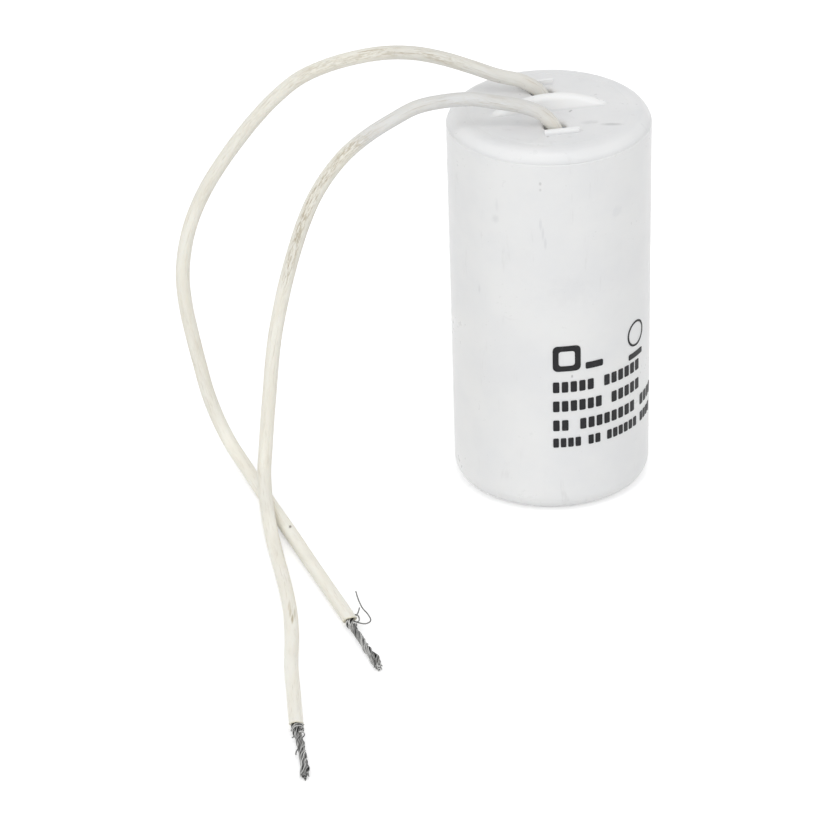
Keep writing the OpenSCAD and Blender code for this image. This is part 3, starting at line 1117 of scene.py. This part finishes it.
@dataclass
class StrippedEnd:
    """The bare strands at a lead's end: a twisted bundle that frays at its tips, and its strays.

    Lengths are in millimetres. The bundle starts "sunk" deep in the insulation and swells to bulge_d
    over bulge_l beside it. Between the two shares of its length in "bow", the strands whose turn has
    a sine below "right_side" bow away from the others by "parting". "short" is how far the strands
    fall short of the route's end, "lowest" how far they stay off the ground, and tip_face how far a
    strand's last tip_l counts as facing out, which lifts the painted shade of the gaps there.
    """

    name: str
    route: tuple[Point, ...]
    seed: int
    bulge_d: float
    bulge_l: float
    lay: float = 9.5
    strands: int = 24
    strand_d: float = 0.23
    bundle_d: float = 1.42
    sunk: float = 0.9
    parting: float = 0.0
    bow: Span = (0.60, 0.94)
    right_side: float = -0.55
    short: float = 0.5
    lowest: float = 0.03
    tip_l: float = 1.6
    tip_face: float = 0.85
    strand_sides: int = 7
    step: float = 0.14
    stray_step: float = 0.18
    uneven: Unevenness = Unevenness()
    wraps: tuple[Wrap, ...] = ()
    strays: tuple[Stray, ...] = ()

    def _seats(self) -> tuple[np.ndarray, np.ndarray]:
        """Where each strand sits in the bundle, by the sunflower rule: even areas, golden turns.

        Returns:
            Each strand's distance from the middle, in metres, and its angle.
        """
        order = np.arange(self.strands)
        reach = np.sqrt((order + 0.5) / self.strands) * (self.bundle_d - self.strand_d) / 2 * MM
        return reach, order * np.pi * (3 - math.sqrt(5))

    def _strand(
        self, rng: np.random.Generator, seat: float, angle: float, path: np.ndarray,
    ) -> tuple[np.ndarray, np.ndarray]:
        """One strand's middle line.

        It winds round the path once for each lay, while its distance from the path and its lead in
        angle wander slowly. Beside the insulation the bundle swells. Towards the tip the winding
        slows, the strands on the right bow out and come back, and each tip turns its own way.

        Args:
            rng: the source of chance.
            seat: the strand's usual distance from the path.
            angle: the strand's angle at the start.
            path: the bundle's middle line, sunk a little into the insulation at its start.

        Returns:
            Places along the strand, up to its own cut end, and which way is out of the bundle there.
        """
        run = run_along(path)
        _, side, other = carried_frame(path)
        total, uneven = run[-1], self.uneven
        loose = slope(run, uneven.loose_from * total, total)
        slowed = run - 0.5 * np.maximum(run - uneven.loose_from * total, 0)
        turn = angle + 2 * np.pi * slowed / (self.lay * MM)
        turn = turn + uneven.turn * ripple(rng, run, uneven.turn_wave * MM)
        swollen = slope(run, *mm(self.sunk + self.bulge_l, self.sunk + self.bulge_l - 1.1))
        swell = 1 + (self.bulge_d / self.bundle_d - 1) * swollen
        pulse = 1 + uneven.width * np.sin(run * 2 * np.pi / (uneven.width_wave * MM) + self.seed)
        wander = ripple(rng, run, uneven.reach_wave * MM)
        wander = (uneven.reach + uneven.swollen_reach * swollen) * MM * wander
        reach = np.maximum(seat * pulse * swell * (1 + uneven.spread * loose**2) + wander, 0)
        outward = around(turn[:, None], side, other)
        line = path + reach[:, None] * outward
        bow = np.sin(np.pi * slope(run / total, *self.bow)) ** 2
        on_right = math.sin(np.interp(sum(self.bow) / 2 * total, run, turn)) < self.right_side
        line = line - on_right * self.parting * MM * bow[:, None] * other
        cut = total - (self.short + abs(rng.normal(0, uneven.ends_differ))) * MM
        kick = slope(run, cut - uneven.kick_l * MM, cut) ** 2 * uneven.kick * MM
        line = line + kick[:, None] * rng.normal(0, 1, 3)
        return line[run <= cut], outward[run <= cut]

    def _wrapped(self, wrap: Wrap, path: np.ndarray) -> tuple[np.ndarray, np.ndarray]:
        """A strand wound on the bundle's outside: a helix whose two ends dip to 0.72 of its reach.

        Args:
            wrap: where it lies.
            path: the bundle's middle line.

        Returns:
            Places along the strand, and which way is out of the bundle there.
        """
        share = np.linspace(0, 1, round(24 * wrap.turns) + 8)
        along = (self.sunk + wrap.start + wrap.length * share) * MM
        _, side, other = carried_frame(path)
        middle, side, other = read_at(along, run_along(path), path, side, other)
        turn = wrap.angle + 2 * np.pi * wrap.turns * share
        outward = around(turn[:, None], side, other)
        reach = (self.bulge_d + self.strand_d * 0.4) / 2 * MM * (0.72 + 0.28 * np.sin(np.pi * share) ** 0.4)
        return middle + reach[:, None] * outward, outward

    def _lay_strand(self, shell: Shell, line: np.ndarray, outward: np.ndarray, tone: float) -> None:
        """Adds one round strand, kept off the ground, with its tone and how far its points face out.

        Its tip counts as facing out all round, so the painted shade of the gaps fades off there.

        Args:
            shell: what it is added to.
            line: its middle line.
            outward: which way is out at each of its places.
            tone: its own shade.
        """
        radius = self.strand_d / 2 * MM
        line[:, 2] = np.maximum(line[:, 2], radius + self.lowest * MM)
        rings = swept(line, np.full(len(line), radius), self.strand_sides)
        face = np.einsum("isk,ik->is", rings - line[:, None], outward) / radius
        run = run_along(line)
        tip = slope(run, run[-1] - self.tip_l * MM, run[-1])[:, None]
        face = face + (self.tip_face - face) * tip
        shell.add(rings, strand_tone=np.full(rings.shape[:2], tone), strand_face=face)

    def make(self, material: bpy.types.Material) -> list[bpy.types.Object]:
        """Makes the bundle and its stray strands.

        Args:
            material: the strands' material.

        Returns:
            The pieces, bundle first.
        """
        rng = np.random.default_rng(self.seed)
        knots = np.asarray(self.route) * MM
        sunk = knots[0] + unit(knots[0] - knots[1]) * self.sunk * MM
        path = smooth_path([sunk, *knots], self.step * MM)
        bundle = Shell()
        for seat, angle in zip(*self._seats()):
            self._lay_strand(bundle, *self._strand(rng, seat, angle, path), rng.uniform(0, 1))
        for wrap in self.wraps:
            self._lay_strand(bundle, *self._wrapped(wrap, path), rng.uniform(0.5, 1))
        pieces = [bundle.make(self.name, material)]
        for stray in self.strays:
            line = smooth_path(np.asarray(stray.route) * MM, self.stray_step * MM)
            shell = Shell()
            rings = swept(line, np.full(len(line), (self.strand_d + 0.02) / 2 * MM), self.strand_sides)
            even = np.ones(rings.shape[:2])
            # a stray takes a little of the painted gap shade all along
            shell.add(rings, strand_tone=even * rng.uniform(0.05, 0.3), strand_face=even * 0.45)
            pieces.append(shell.make(stray.name, material))
        return pieces


@dataclass(frozen=True)
class SkinStretch:
    """A stretch of a lead's skin, in millimetres along it, and how strongly it is marked there; it places
    both rubbed brown and painted shade.
    """

    start: float
    end: float
    strength: float
    blur: float = 5.0

    def share(self, along: np.ndarray) -> np.ndarray:
        """How strongly the skin is marked at each place: a slope up, a level stretch, a slope down.

        Args:
            along: distances along the lead, in millimetres.

        Returns:
            Numbers from 0 to the mark's strength.
        """
        half = self.blur / 2
        rise = slope(along, self.start - half, self.start + half)
        fall = slope(along, self.end + half, self.end - half)
        return self.strength * np.minimum(rise, fall)


@dataclass
class Lead:
    """One insulated lead: from the resin's surface, through its outlet, to its stripped end.

    Lengths are in millimetres. Painted shade greys and dims the skin all round over set stretches,
    and the skin is rubbed brown only where it faces rubbed_side, by the cosine of the angle between
    them: none at rubbed_from, and in full at rubbed_full. "slant" is how much further the cut end
    reaches at its top than at its foot, and "uneven" the share by which the skin's radius swells and
    shrinks, in waves of uneven_wave.
    """

    name: str
    exit: Point
    route: tuple[Point, ...]
    end: StrippedEnd
    seed: int
    bore_d: float
    slant: float
    shade_greyed: tuple[SkinStretch, ...]
    shade_dimmed: tuple[SkinStretch, ...]
    browned: tuple[SkinStretch, ...]
    rubbed_side: Point = (-0.08, -0.88, 0.47)
    rubbed_from: float = 0.62
    rubbed_full: float = 0.87
    diameter: float = 2.5
    bore_depth: float = 1.1
    edge: float = 0.07
    uneven: float = 0.012
    uneven_wave: float = 34.0
    sides: int = 24
    step: float = 0.5

    def _profile(self, path: np.ndarray, rng: np.random.Generator) -> tuple[np.ndarray, np.ndarray]:
        """Which places along the path carry a ring, and how wide each ring is.

        The outside runs from the first place to the last, a hair's breadth thicker and thinner as
        it goes; the cut end turns in over a small edge, and the bore runs back inside it.

        Args:
            path: the lead's middle line.
            rng: the source of chance.

        Returns:
            Distances along the path and radii, both in metres.
        """
        run = run_along(path)
        radius, bore, edge, depth = mm(self.diameter / 2, self.bore_d / 2, self.edge, self.bore_depth)
        outside = radius * (1 + self.uneven * ripple(rng, run, self.uneven_wave * MM))
        end, rim = run[-1], outside[-1]
        keep = run < end - 1.5 * edge
        places = [*run[keep], end - edge, end - 0.3 * edge, end, end, end - depth]
        radii = [*outside[keep], rim, rim - 0.3 * edge, rim - edge, bore, bore]
        return np.array(places), np.array(radii)

    def _cut_askew(
        self, rings: np.ndarray, middle: np.ndarray, at: np.ndarray, turn: np.ndarray,
        rng: np.random.Generator,
    ) -> np.ndarray:
        """Slants and roughens the cut end, over the last 2 mm.

        A point moves along the lead by its height above the middle times the slant over the
        diameter, and by waves round the lead of three bumps of 0.05 mm and seven of 0.03 mm.

        Args:
            rings: the skin's points.
            middle: each ring's middle.
            at: each ring's distance along the lead.
            turn: each point's angle.
            rng: the source of chance.

        Returns:
            The moved points.
        """
        ahead = unit(middle[np.argmax(at)] - middle[np.argmax(at) - 20])
        share = slope(at, at.max() - 2 * MM, at.max())[:, None]
        lean = (rings[..., 2] - middle[:, None, 2]) * self.slant / self.diameter
        starts = rng.uniform(0, 2 * np.pi, 2)
        rough = (0.05 * np.sin(3 * turn + starts[0]) + 0.03 * np.sin(7 * turn + starts[1])) * MM
        return rings + (share * (lean + rough))[..., None] * ahead

    def make(self, skin: bpy.types.Material, wire: bpy.types.Material) -> list[bpy.types.Object]:
        """The skin is a ring carried along the route; each point keeps its place round the wire and
        along it, so that its dirt follows the wire.

        Args:
            skin: the insulation's material.
            wire: the strands' material.

        Returns:
            The pieces, insulation first.
        """
        rng = np.random.default_rng(self.seed)
        path = smooth_path(np.asarray(self.route) * MM, self.step * MM)
        run = run_along(path)
        at, radius = self._profile(path, rng)
        _, side, other = carried_frame(path)
        middle, side, other = read_at(at, run, path, side, other)
        turn = np.linspace(0, 2 * np.pi, self.sides, endpoint=False)[None, :]
        outward = around(turn[..., None], side[:, None], other[:, None])
        rings = middle[:, None] + radius[:, None, None] * outward
        rings = self._cut_askew(rings, middle, at, turn, rng)
        rings[..., 2] = np.maximum(rings[..., 2], 0)
        along = np.broadcast_to(at[:, None] / MM, rings.shape[:2])
        wide = radius[:, None] / MM
        place = np.stack([np.cos(turn) * wide, np.sin(turn) * wide, along], -1)
        towards = slope(outward @ np.asarray(self.rubbed_side), self.rubbed_from, self.rubbed_full)
        # painted shade greys and dims the skin over its stretches; the brown is rubbed dirt
        grey, dull, brown = (
            sum(stretch.share(along) for stretch in stretches)
            for stretches in (self.shade_greyed, self.shade_dimmed, self.browned)
        )
        shell = Shell()
        shell.add(
            rings, lead_place=place, lead_left=run[-1] / MM - along, lead_gone=along,
            lead_grey=grey, lead_dull=dull, lead_brown=brown * towards,
        )
        skin_piece = shell.make(self.name, skin, sharp=50.0)
        strands = self.end.make(wire)
        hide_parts(self.name.replace("_skin", ""))
        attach(skin_piece, ROOT)
        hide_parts(self.name.replace("_skin", "_strands"))
        for strand in strands:
            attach(strand, ROOT)
        log.info("%s: %.1f mm long, %d pieces of bare strand", self.name, run[-1] / MM, len(strands))
        return [skin_piece, *strands]


LEAD_STAINS = (
    TintPatch((-46.0, -26.0, 2.5), (0.35, 0.75, 0.5), (0.10, 0.08, 0.06), 0.8, 0.3),
    TintPatch((-45.65, -54.6, 2.4), (0.26, 2.6, 1.0), (0.50, 0.41, 0.26), 0.40, 0.3),
    TintPatch((-45.38, -56.9, 2.4), (0.28, 2.7, 1.0), (0.46, 0.38, 0.22), 0.50, 0.3),
    TintPatch((-44.98, -59.4, 2.4), (0.28, 2.3, 1.0), (0.40, 0.31, 0.17), 0.75, 0.3),
    TintPatch((-44.62, -57.0, 2.3), (0.26, 2.8, 1.0), (0.46, 0.41, 0.27), 0.45, 0.3),
)

REAR_LEAD = Lead(
    name="rear_lead_skin",
    exit=(-1.7, 6.7, 71.2),
    seed=11,
    bore_d=1.7,
    slant=2.6,
    # stretches of painted shade, then of rubbed brown
    shade_greyed=(SkinStretch(-5, 18, 0.65), SkinStretch(18, 34, 0.35)),
    shade_dimmed=(SkinStretch(18, 46, 0.45), SkinStretch(46, 80, 0.42), SkinStretch(80, 126, 0.3)),
    browned=(SkinStretch(20, 51, 0.62), SkinStretch(51, 82, 0.2), SkinStretch(96, 122, 0.14)),
    route=(
        (-0.5, 6.7, 66.2), (-0.5, 6.7, 67.8), (-0.8, 6.7, 69.6), (-1.7, 6.7, 71.2), (-3.2, 6.8, 72.4),
        (-5.2, 6.9, 73.3), (-9, 7, 74.2), (-13.5, 7.2, 75.8), (-18.5, 7.4, 77.4), (-23.5, 7.5, 78.4),
        (-28.7, 7.5, 78.5), (-34, 7.5, 77.6), (-39, 7.4, 76.1), (-43.7, 7.3, 73.8), (-47.7, 7.2, 70.4),
        (-51.4, 7.1, 66.3), (-54.8, 7, 61.8), (-58, 6.8, 57.1), (-60.8, 6.6, 52.2), (-63, 6.4, 47),
        (-64.4, 6.2, 41.6), (-65, 6, 35.9), (-64.6, 5.8, 30.1), (-63.6, 5.7, 24.3), (-62.4, 5.6, 18.5),
        (-61.1, 5.4, 12.8), (-59.3, 4.7, 7.7), (-57, 2.2, 3.9), (-54, -3.5, 1.9), (-50.9, -11.9, 1.3),
        (-46.1, -25.6, 1.3), (-41.5, -39.1, 1.3), (-36.9, -52.3, 1.3), (-35.05, -57.7, 1.3),
    ),
    end=StrippedEnd(
        name="rear_bundle",
        route=((-35.2, -57.3, 1.3), (-34.8, -59.2, 1.3), (-33.5, -62.9, 1.1), (-32.1, -66.9, 0.9),
               (-30.8, -70.8, 0.85), (-29.7, -74.3, 0.8)),
        seed=4,
        bulge_d=1.65,
        bulge_l=3.0,
        lay=8.5,
        parting=0.5,
        wraps=(Wrap(1.4, 1.3, 0.9, 0.6),),
        strays=(
            Stray("rear_stray_loop", (
                (-35.2, -58.2, 1.5), (-34.5, -58.9, 1.9), (-33.6, -59.3, 1.7), (-32.5, -59.2, 1.4),
                (-31.7, -58.5, 1.3), (-31.5, -57.4, 1.3), (-32.1, -55.4, 1.3), (-32.8, -53.7, 1.2),
                (-33.3, -52.1, 1.2), (-33.8, -49.8, 1.2), (-34.2, -47.3, 1.2),
            )),
            Stray("rear_stray_hook", (
                (-34.9, -57.8, 1.7), (-34.3, -56.9, 1.9), (-33.8, -56.8, 1.8), (-33.5, -57.4, 1.6),
                (-33.5, -58.3, 1.5), (-34.0, -58.9, 1.5),
            )),
            Stray("rear_stray_hair", (
                (-34.6, -58.4, 1.8), (-34.2, -57.3, 1.8), (-33.8, -56.2, 1.7), (-33.6, -55.1, 1.7),
                (-33.5, -53.9, 1.6),
            )),
        ),
    ),
)

FRONT_LEAD = Lead(
    name="front_lead_skin",
    exit=(0.5, -6.7, 71.5),
    seed=23,
    bore_d=1.95,
    slant=3.0,
    # stretches of painted shade, then of rubbed brown
    shade_greyed=(SkinStretch(-5, 8, 0.5), SkinStretch(8, 29, 1.0), SkinStretch(29, 43, 0.85)),
    shade_dimmed=(SkinStretch(43, 72, 0.45), SkinStretch(72, 108, 0.2), SkinStretch(108, 122, 0.35)),
    browned=(SkinStretch(5, 32, 0.15), SkinStretch(40, 73, 1.0), SkinStretch(73, 112, 0.12)),
    route=(
        (1.7, -6.7, 66.2), (1.7, -6.7, 67.8), (1.4, -6.7, 69.6), (0.5, -6.7, 71.5), (-0.9, -6.7, 73.1),
        (-2.7, -6.8, 74.2), (-5.2, -6.8, 75), (-8.7, -6.9, 75.7), (-13.5, -7.1, 76.5), (-18.4, -7.3, 76.2),
        (-23.1, -7.4, 75.1), (-27.5, -7.5, 72.6), (-31.6, -7.6, 69.8), (-35.4, -7.7, 66.4),
        (-38.6, -7.8, 62.3), (-41.2, -7.8, 57.7), (-43.2, -7.9, 52.7), (-44.8, -7.9, 47.5),
        (-46.2, -7.9, 42.2), (-47.4, -8, 36.8), (-48.4, -8, 31.4), (-49.1, -8.1, 25.9),
        (-49.6, -8.2, 20.4), (-50.1, -8.5, 15), (-50.5, -9.6, 10), (-50.8, -11.6, 6.2),
        (-50.6, -15.7, 4.2), (-50.1, -21, 2.9), (-49.2, -27.5, 1.6), (-48.2, -34.3, 1.3),
        (-46.7, -44.1, 1.3), (-45.5, -54, 1.3), (-45, -63.8, 1.3), (-44.9, -73.7, 1.3),
        (-44.3, -83.4, 1.3), (-43.65, -93.8, 1.3),
    ),
    end=StrippedEnd(
        name="front_bundle",
        route=((-43.7, -93, 1.3), (-43.45, -95, 1.3), (-42.95, -99, 1.1), (-42.4, -103.4, 0.9),
               (-42.05, -107.8, 0.85), (-41.9, -112, 0.8)),
        seed=9,
        bulge_d=1.95,
        bundle_d=1.52,
        bulge_l=3.6,
        lay=10.5,
        parting=0.12,
        short=0.9,
        wraps=(Wrap(1.0, 1.5, 1.2, 0.4), Wrap(2.3, 1.2, 1.1, 2.2), Wrap(3.3, 1.3, 0.8, 1.2)),
        strays=(
            Stray("front_stray_wrap", (
                (-44.5, -95.6, 1.0), (-44.2, -95.9, 1.7), (-43.7, -95.5, 2.05), (-43.1, -94.9, 1.9),
                (-42.8, -94.5, 1.4), (-42.8, -94.2, 0.9),
            )),
            Stray("front_stray_right", ((-43.3, -94.2, 1.4), (-42.8, -94.5, 1.5), (-42.3, -94.3, 1.5))),
            Stray("front_stray_left", ((-43.7, -97.4, 1.1), (-44.0, -97.7, 1.1), (-44.3, -97.9, 1.0))),
            Stray("front_stray_lower", ((-43.2, -101.6, 1.0), (-43.5, -102.5, 0.9), (-43.55, -103.3, 0.8))),
        ),
    ),
)


# --- Can: case, cover and printed marks ---


@dataclass(frozen=True)
class WordRow:
    """A printed line of plain blocks: its foot, the height of its blocks, and its words."""

    foot: float
    height: float
    words: tuple[int, ...]
    block: float = 1.15
    gap: float = 0.42
    space: float = 1.7


@dataclass
class PrintedMarks:
    """Plain black shapes on the case's front right: two rings, two bars and four rows of blocks.

    The case's radii and height are in metres, and the marks' own measures in millimetres. A box is
    its left side, foot, width, height and corner radius; a round ring is its middle and two radii.
    """

    top_r: float
    foot_r: float
    top_z: float
    start_angle: float = -89.0
    rise: float = 0.02
    sink: float = 0.12
    mesh: float = 0.4
    block_corner: float = 0.22
    square_ring: tuple[float, ...] = (0.0, 28.3, 5.0, 5.0, 0.9)
    square_hole: float = 0.58
    round_ring: tuple[float, ...] = (17.6, 31.6, 2.5, 2.1)
    bars: tuple[tuple[float, ...], ...] = ((5.9, 28.3, 3.4, 1.3, 0.3), (15.4, 26.9, 4.4, 1.1, 0.25))
    rows: tuple[WordRow, ...] = (
        WordRow(24.1, 2.1, (5, 6)),
        WordRow(20.3, 2.1, (6, 5)),
        WordRow(16.5, 2.1, (2, 8, 4)),
        WordRow(13.2, 1.8, (4, 2, 6, 4), 1.0, 0.32, 1.1),
    )

    def _on_case(self, across: np.ndarray, up: np.ndarray, lift: float) -> np.ndarray:
        """Wraps flat points round the tapered case.

        A point's distance across becomes an arc of the same length, and its height stays, so its
        radius is the case's radius at that height plus the lift.

        Args:
            across: distances from the print's left edge, in metres.
            up: heights above the foot, in metres.
            lift: how far outside the case's skin the points lie.

        Returns:
            Points in the row's frame.
        """
        skin = self.foot_r + (self.top_r - self.foot_r) * up / self.top_z
        angle = math.radians(self.start_angle) + across / skin
        return np.stack([(skin + lift) * np.cos(angle), (skin + lift) * np.sin(angle), up], -1)

    def _shape(self, shell: Shell, outer: np.ndarray, inner: np.ndarray | None = None) -> None:
        """Adds one closed flake of ink between its outline and its middle, or its inner outline.

        Its section goes out over the face, down the edge and back under the skin.

        Args:
            shell: what it is added to.
            outer: the outline, as points of (across, up) in metres.
            inner: the hole's outline, if it has one.
        """
        middle = outer.mean(0)
        core = inner if inner is not None else middle + (outer - middle) * 0.06
        levels = 2 + math.ceil(np.abs(outer - core).max() / (self.mesh * MM))
        share = np.linspace(0, 1, levels)[:, None, None]
        flat = core + (outer - core) * share
        face = self._on_case(flat[..., 0], flat[..., 1], self.rise * MM)
        under = self._on_case(flat[::-1, :, 0], flat[::-1, :, 1], -self.sink * MM)
        shell.add(np.concatenate([face, under]), Ends.CAPPED if inner is None else Ends.LOOPED)

    @staticmethod
    def rounded_box(left: float, foot: float, width: float, height: float, corner: float) -> np.ndarray:
        """An outline of a box with round corners: quarter circles of 5 points, and sides in short steps.

        Args:
            left: the left side.
            foot: the lower side.
            width: its width.
            height: its height.
            corner: the corners' radius.

        Returns:
            The outline's points, anticlockwise.
        """
        turn = np.linspace(0, np.pi / 2, 5)
        arc = np.stack([np.cos(turn), np.sin(turn)], -1) * corner
        right, top = width - corner, height - corner
        middles = ((right, top), (corner, top), (corner, corner), (right, corner))
        corners = []
        for quarter, middle in enumerate(middles):
            cosine, sine = math.cos(quarter * math.pi / 2), math.sin(quarter * math.pi / 2)
            corners.append(arc @ np.array([[cosine, sine], [-sine, cosine]]) + middle)
        points = []
        for here, after in zip(corners, corners[1:] + corners[:1]):
            steps = math.ceil(np.linalg.norm(after[0] - here[-1]) / PrintedMarks.mesh)
            points += [here[:-1], np.linspace(here[-1], after[0], steps, endpoint=False)]
        return np.vstack(points) + (left, foot)

    @staticmethod
    def circle(across: float, up: float, radius: float) -> np.ndarray:
        """An outline of a circle of 48 points."""
        turn = np.linspace(0, 2 * np.pi, 48, endpoint=False)
        return np.stack([across + radius * np.cos(turn), up + radius * np.sin(turn)], -1)

    def make(self, ink: bpy.types.Material) -> bpy.types.Object:
        """Makes the marks as one piece.

        Args:
            ink: their material.

        Returns:
            The piece.
        """
        shell = Shell()
        for row in self.rows:
            left = 0.0
            for word in row.words:
                for _ in range(word):
                    block = self.rounded_box(left, row.foot, row.block, row.height, self.block_corner)
                    self._shape(shell, block * MM)
                    left += row.block + row.gap
                left += row.space
        square = self.rounded_box(*self.square_ring) * MM
        middle = square.mean(0)
        self._shape(shell, square, middle + (square - middle) * self.square_hole)
        for bar in self.bars:
            self._shape(shell, self.rounded_box(*bar) * MM)
        across, up, outer, inner = self.round_ring
        self._shape(shell, self.circle(across, up, outer) * MM, self.circle(across, up, inner) * MM)
        piece = shell.make("printed_marks", ink)
        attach(piece, ROOT)
        return piece


@dataclass
class Can:
    """The moulded case and cover, which keep their own solids, and the marks printed on the case.

    "draft" is how much smaller the case's radius is at its foot, in millimetres.
    """

    case: MouldedPlastic = MouldedPlastic(
        name="case_white",
        base=(0.815, 0.815, 0.81),
        shade=(0.755, 0.76, 0.77),
        tint_patches=(
            TintPatch((-1.6, -17.8, 57.3), (0.35, 1.0, 1.7), (0.50, 0.50, 0.52), 0.22, 0.3),
            TintPatch((-1.2, -17.8, 55.5), (0.35, 1.0, 1.7), (0.50, 0.50, 0.52), 0.24, 0.3),
            TintPatch((-0.8, -17.8, 53.7), (0.35, 1.0, 1.7), (0.50, 0.50, 0.52), 0.22, 0.3),
            TintPatch((-1.6, -17.8, 65.3), (0.35, 1.0, 0.5), (0.35, 0.34, 0.34), 0.38, 0.1),
            TintPatch((-1.6, -17.8, 64.1), (0.3, 1.0, 0.4), (0.35, 0.34, 0.34), 0.3, 0.1),
            TintPatch((-9.6, -15.2, 57.2), (1.1, 1.4, 1.2), (0.50, 0.50, 0.52), 0.24, 0.8),
            TintPatch((-9.2, -15.4, 60.0), (0.4, 1.0, 1.8), (0.56, 0.56, 0.58), 0.18, 0.4),
            TintPatch((11.9, -13.5, 57.6), (1.4, 1.6, 1.5), (0.56, 0.57, 0.60), 0.14, 0.9),
            TintPatch((3.2, -17.5, 44.0), (6.0, 3.0, 4.0), (0.60, 0.60, 0.62), 0.09, 1.0),
            TintPatch((-12.5, -12.8, 42.2), (0.4, 0.6, 1.4), (0.50, 0.50, 0.52), 0.28, 0.4),
            TintPatch((3.7, -17.5, 27.2), (0.3, 1.0, 0.5), (0.12, 0.12, 0.12), 0.6, 0.15),
        ),
    )
    cover: MouldedPlastic = MouldedPlastic(
        name="cover_white",
        base=(0.80, 0.80, 0.80),
        shade=(0.73, 0.735, 0.745),
        turned_rings=1.0,
        # features above this height get the painted highlight
        raised_from=71.1,
        tint_patches=(
            TintPatch((0.6, -5.8, 71.0), (3.2, 2.8, 1.2), (0.50, 0.42, 0.34), 0.34, 0.35),
            TintPatch((-0.8, 7.0, 71.0), (3.0, 2.4, 1.2), (0.50, 0.42, 0.34), 0.30, 0.35),
            # painted shadow: soft grey haze beneath the front lead, left of its outlet
            TintPatch((-4.6, -8.2, 71.0), (6.0, 3.0, 1.0), (0.64, 0.60, 0.62), 0.14, 0.3),
            TintPatch((10.9, -6.3, 71.0), (2.6, 0.7, 1.0), (0.42, 0.42, 0.42), 0.5, 0.35),
            TintPatch((7.0, -5.4, 71.0), (1.9, 1.0, 1.0), (0.55, 0.55, 0.55), 0.36, 0.5),
            TintPatch((3.66, -1.05, 71.0), (0.30, 0.45, 0.4), (0.24, 0.24, 0.24), 0.50, 0.05),
            TintPatch((3.90, -0.72, 71.0), (0.30, 0.40, 0.3), (0.24, 0.24, 0.24), 0.50, 0.05),
            # painted light: both outlets' bores lightened against the shade inside them
            TintPatch((0.6, -6.7, 69.9), (3.4, 2.4, 0.9), (0.97, 0.97, 0.96), 0.9, 0.0),
            TintPatch((-1.6, 6.7, 69.9), (3.4, 2.4, 0.9), (0.97, 0.97, 0.96), 0.9, 0.0),
            # painted shadow: small dark dot at the front lip's right end
            TintPatch((5.7, -8.6, 71.0), (0.45, 0.5, 0.9), (0.42, 0.40, 0.38), 0.15, 0.2),
            TintPatch((-0.2, -10.9, 71.0), (0.4, 0.45, 0.9), (0.42, 0.40, 0.38), 0.5, 0.2),
            TintPatch((15.0, 7.5, 69.6), (1.6, 1.6, 1.2), (0.42, 0.42, 0.44), 0.3, 0.7),
        ),
    )
    ink: PrintInk = PrintInk("print_black")
    draft: float = 0.8

    def make(self) -> None:
        """Dresses the case and the cover and adds the printed marks."""
        for node, finish in (("case", self.case), ("cover", self.cover)):
            dress(node, finish.build())
        low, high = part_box("case")
        PrintedMarks(top_r=high.x, foot_r=high.x - self.draft * MM, top_z=high.z).make(self.ink.build())
        log.info("can: case %.1f mm high, cover and marks dressed", (high.z - low.z) / MM)


@dataclass
class Potting:
    """Everything sealed inside the case, which keeps its own solids."""

    film: WoundFilm = WoundFilm("film_silver")
    core: HiddenStock = HiddenStock("core_white", (0.84, 0.84, 0.80), (0.74, 0.74, 0.70), 240.0)
    zinc: HiddenStock = HiddenStock(
        "sprayed_zinc", (0.52, 0.53, 0.55), (0.26, 0.27, 0.28), 1600.0,
        roughness=0.72, metallic=0.7, relief=0.0002,
    )
    resin: HiddenStock = HiddenStock(
        "resin_grey", (0.17, 0.18, 0.17), (0.09, 0.10, 0.09), 320.0, roughness=0.34, relief=0.00004,
    )
    solder: HiddenStock = HiddenStock(
        "solder_grey", (0.62, 0.63, 0.65), (0.38, 0.39, 0.41), 700.0,
        roughness=0.30, metallic=0.95, relief=0.00005,
    )
    conductor: HiddenStock = HiddenStock(
        "inner_conductor", (0.60, 0.60, 0.59), (0.34, 0.34, 0.34), 900.0, roughness=0.36, metallic=0.95,
    )
    root_cream: HiddenStock = HiddenStock(
        "root_cream", (0.80, 0.77, 0.67), (0.70, 0.66, 0.55), 420.0, (1.0, 1.0, 0.3), roughness=0.5,
    )

    def make(self) -> None:
        """Gives each potted node its material."""
        dress("winding", self.film.build())
        stocks = (
            (("core_tube",), self.core),
            (("bottom_end_spray", "top_end_spray"), self.zinc),
            (("potting_resin",), self.resin),
            (("rear_lead_root", "front_lead_root"), self.root_cream),
            (("rear_lead_tail", "front_lead_tail"), self.conductor),
            (("rear_solder_joint", "front_solder_joint"), self.solder),
        )
        for nodes, stock in stocks:
            material = stock.build()
            for node in nodes:
                dress(node, material)
        log.info("potting: %d nodes dressed", 1 + sum(len(nodes) for nodes, _ in stocks))


def dress(node: str, material: bpy.types.Material) -> None:
    """Gives a node that keeps its own solid a material.

    Args:
        node: the node's name.
        material: what it is made of.
    """
    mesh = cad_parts[node].data
    mesh.materials.clear()
    mesh.materials.append(material)


def main() -> None:
    """Builds the studio and the capacitor, in order."""
    logging.basicConfig(level=logging.INFO, format="%(message)s")
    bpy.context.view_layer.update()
    Viewpoint().make()
    log.info("camera placed")
    skin = CreamInsulation("lead_cream", tint_patches=LEAD_STAINS).build()
    wire = TinnedWire("tinned_grey").build()
    for lead in (REAR_LEAD, FRONT_LEAD):
        lead.make(skin, wire)
    Can().make()
    Potting().make()
    Studio().make()
    log.info("studio lit")


if __name__ == "__main__":
    main()
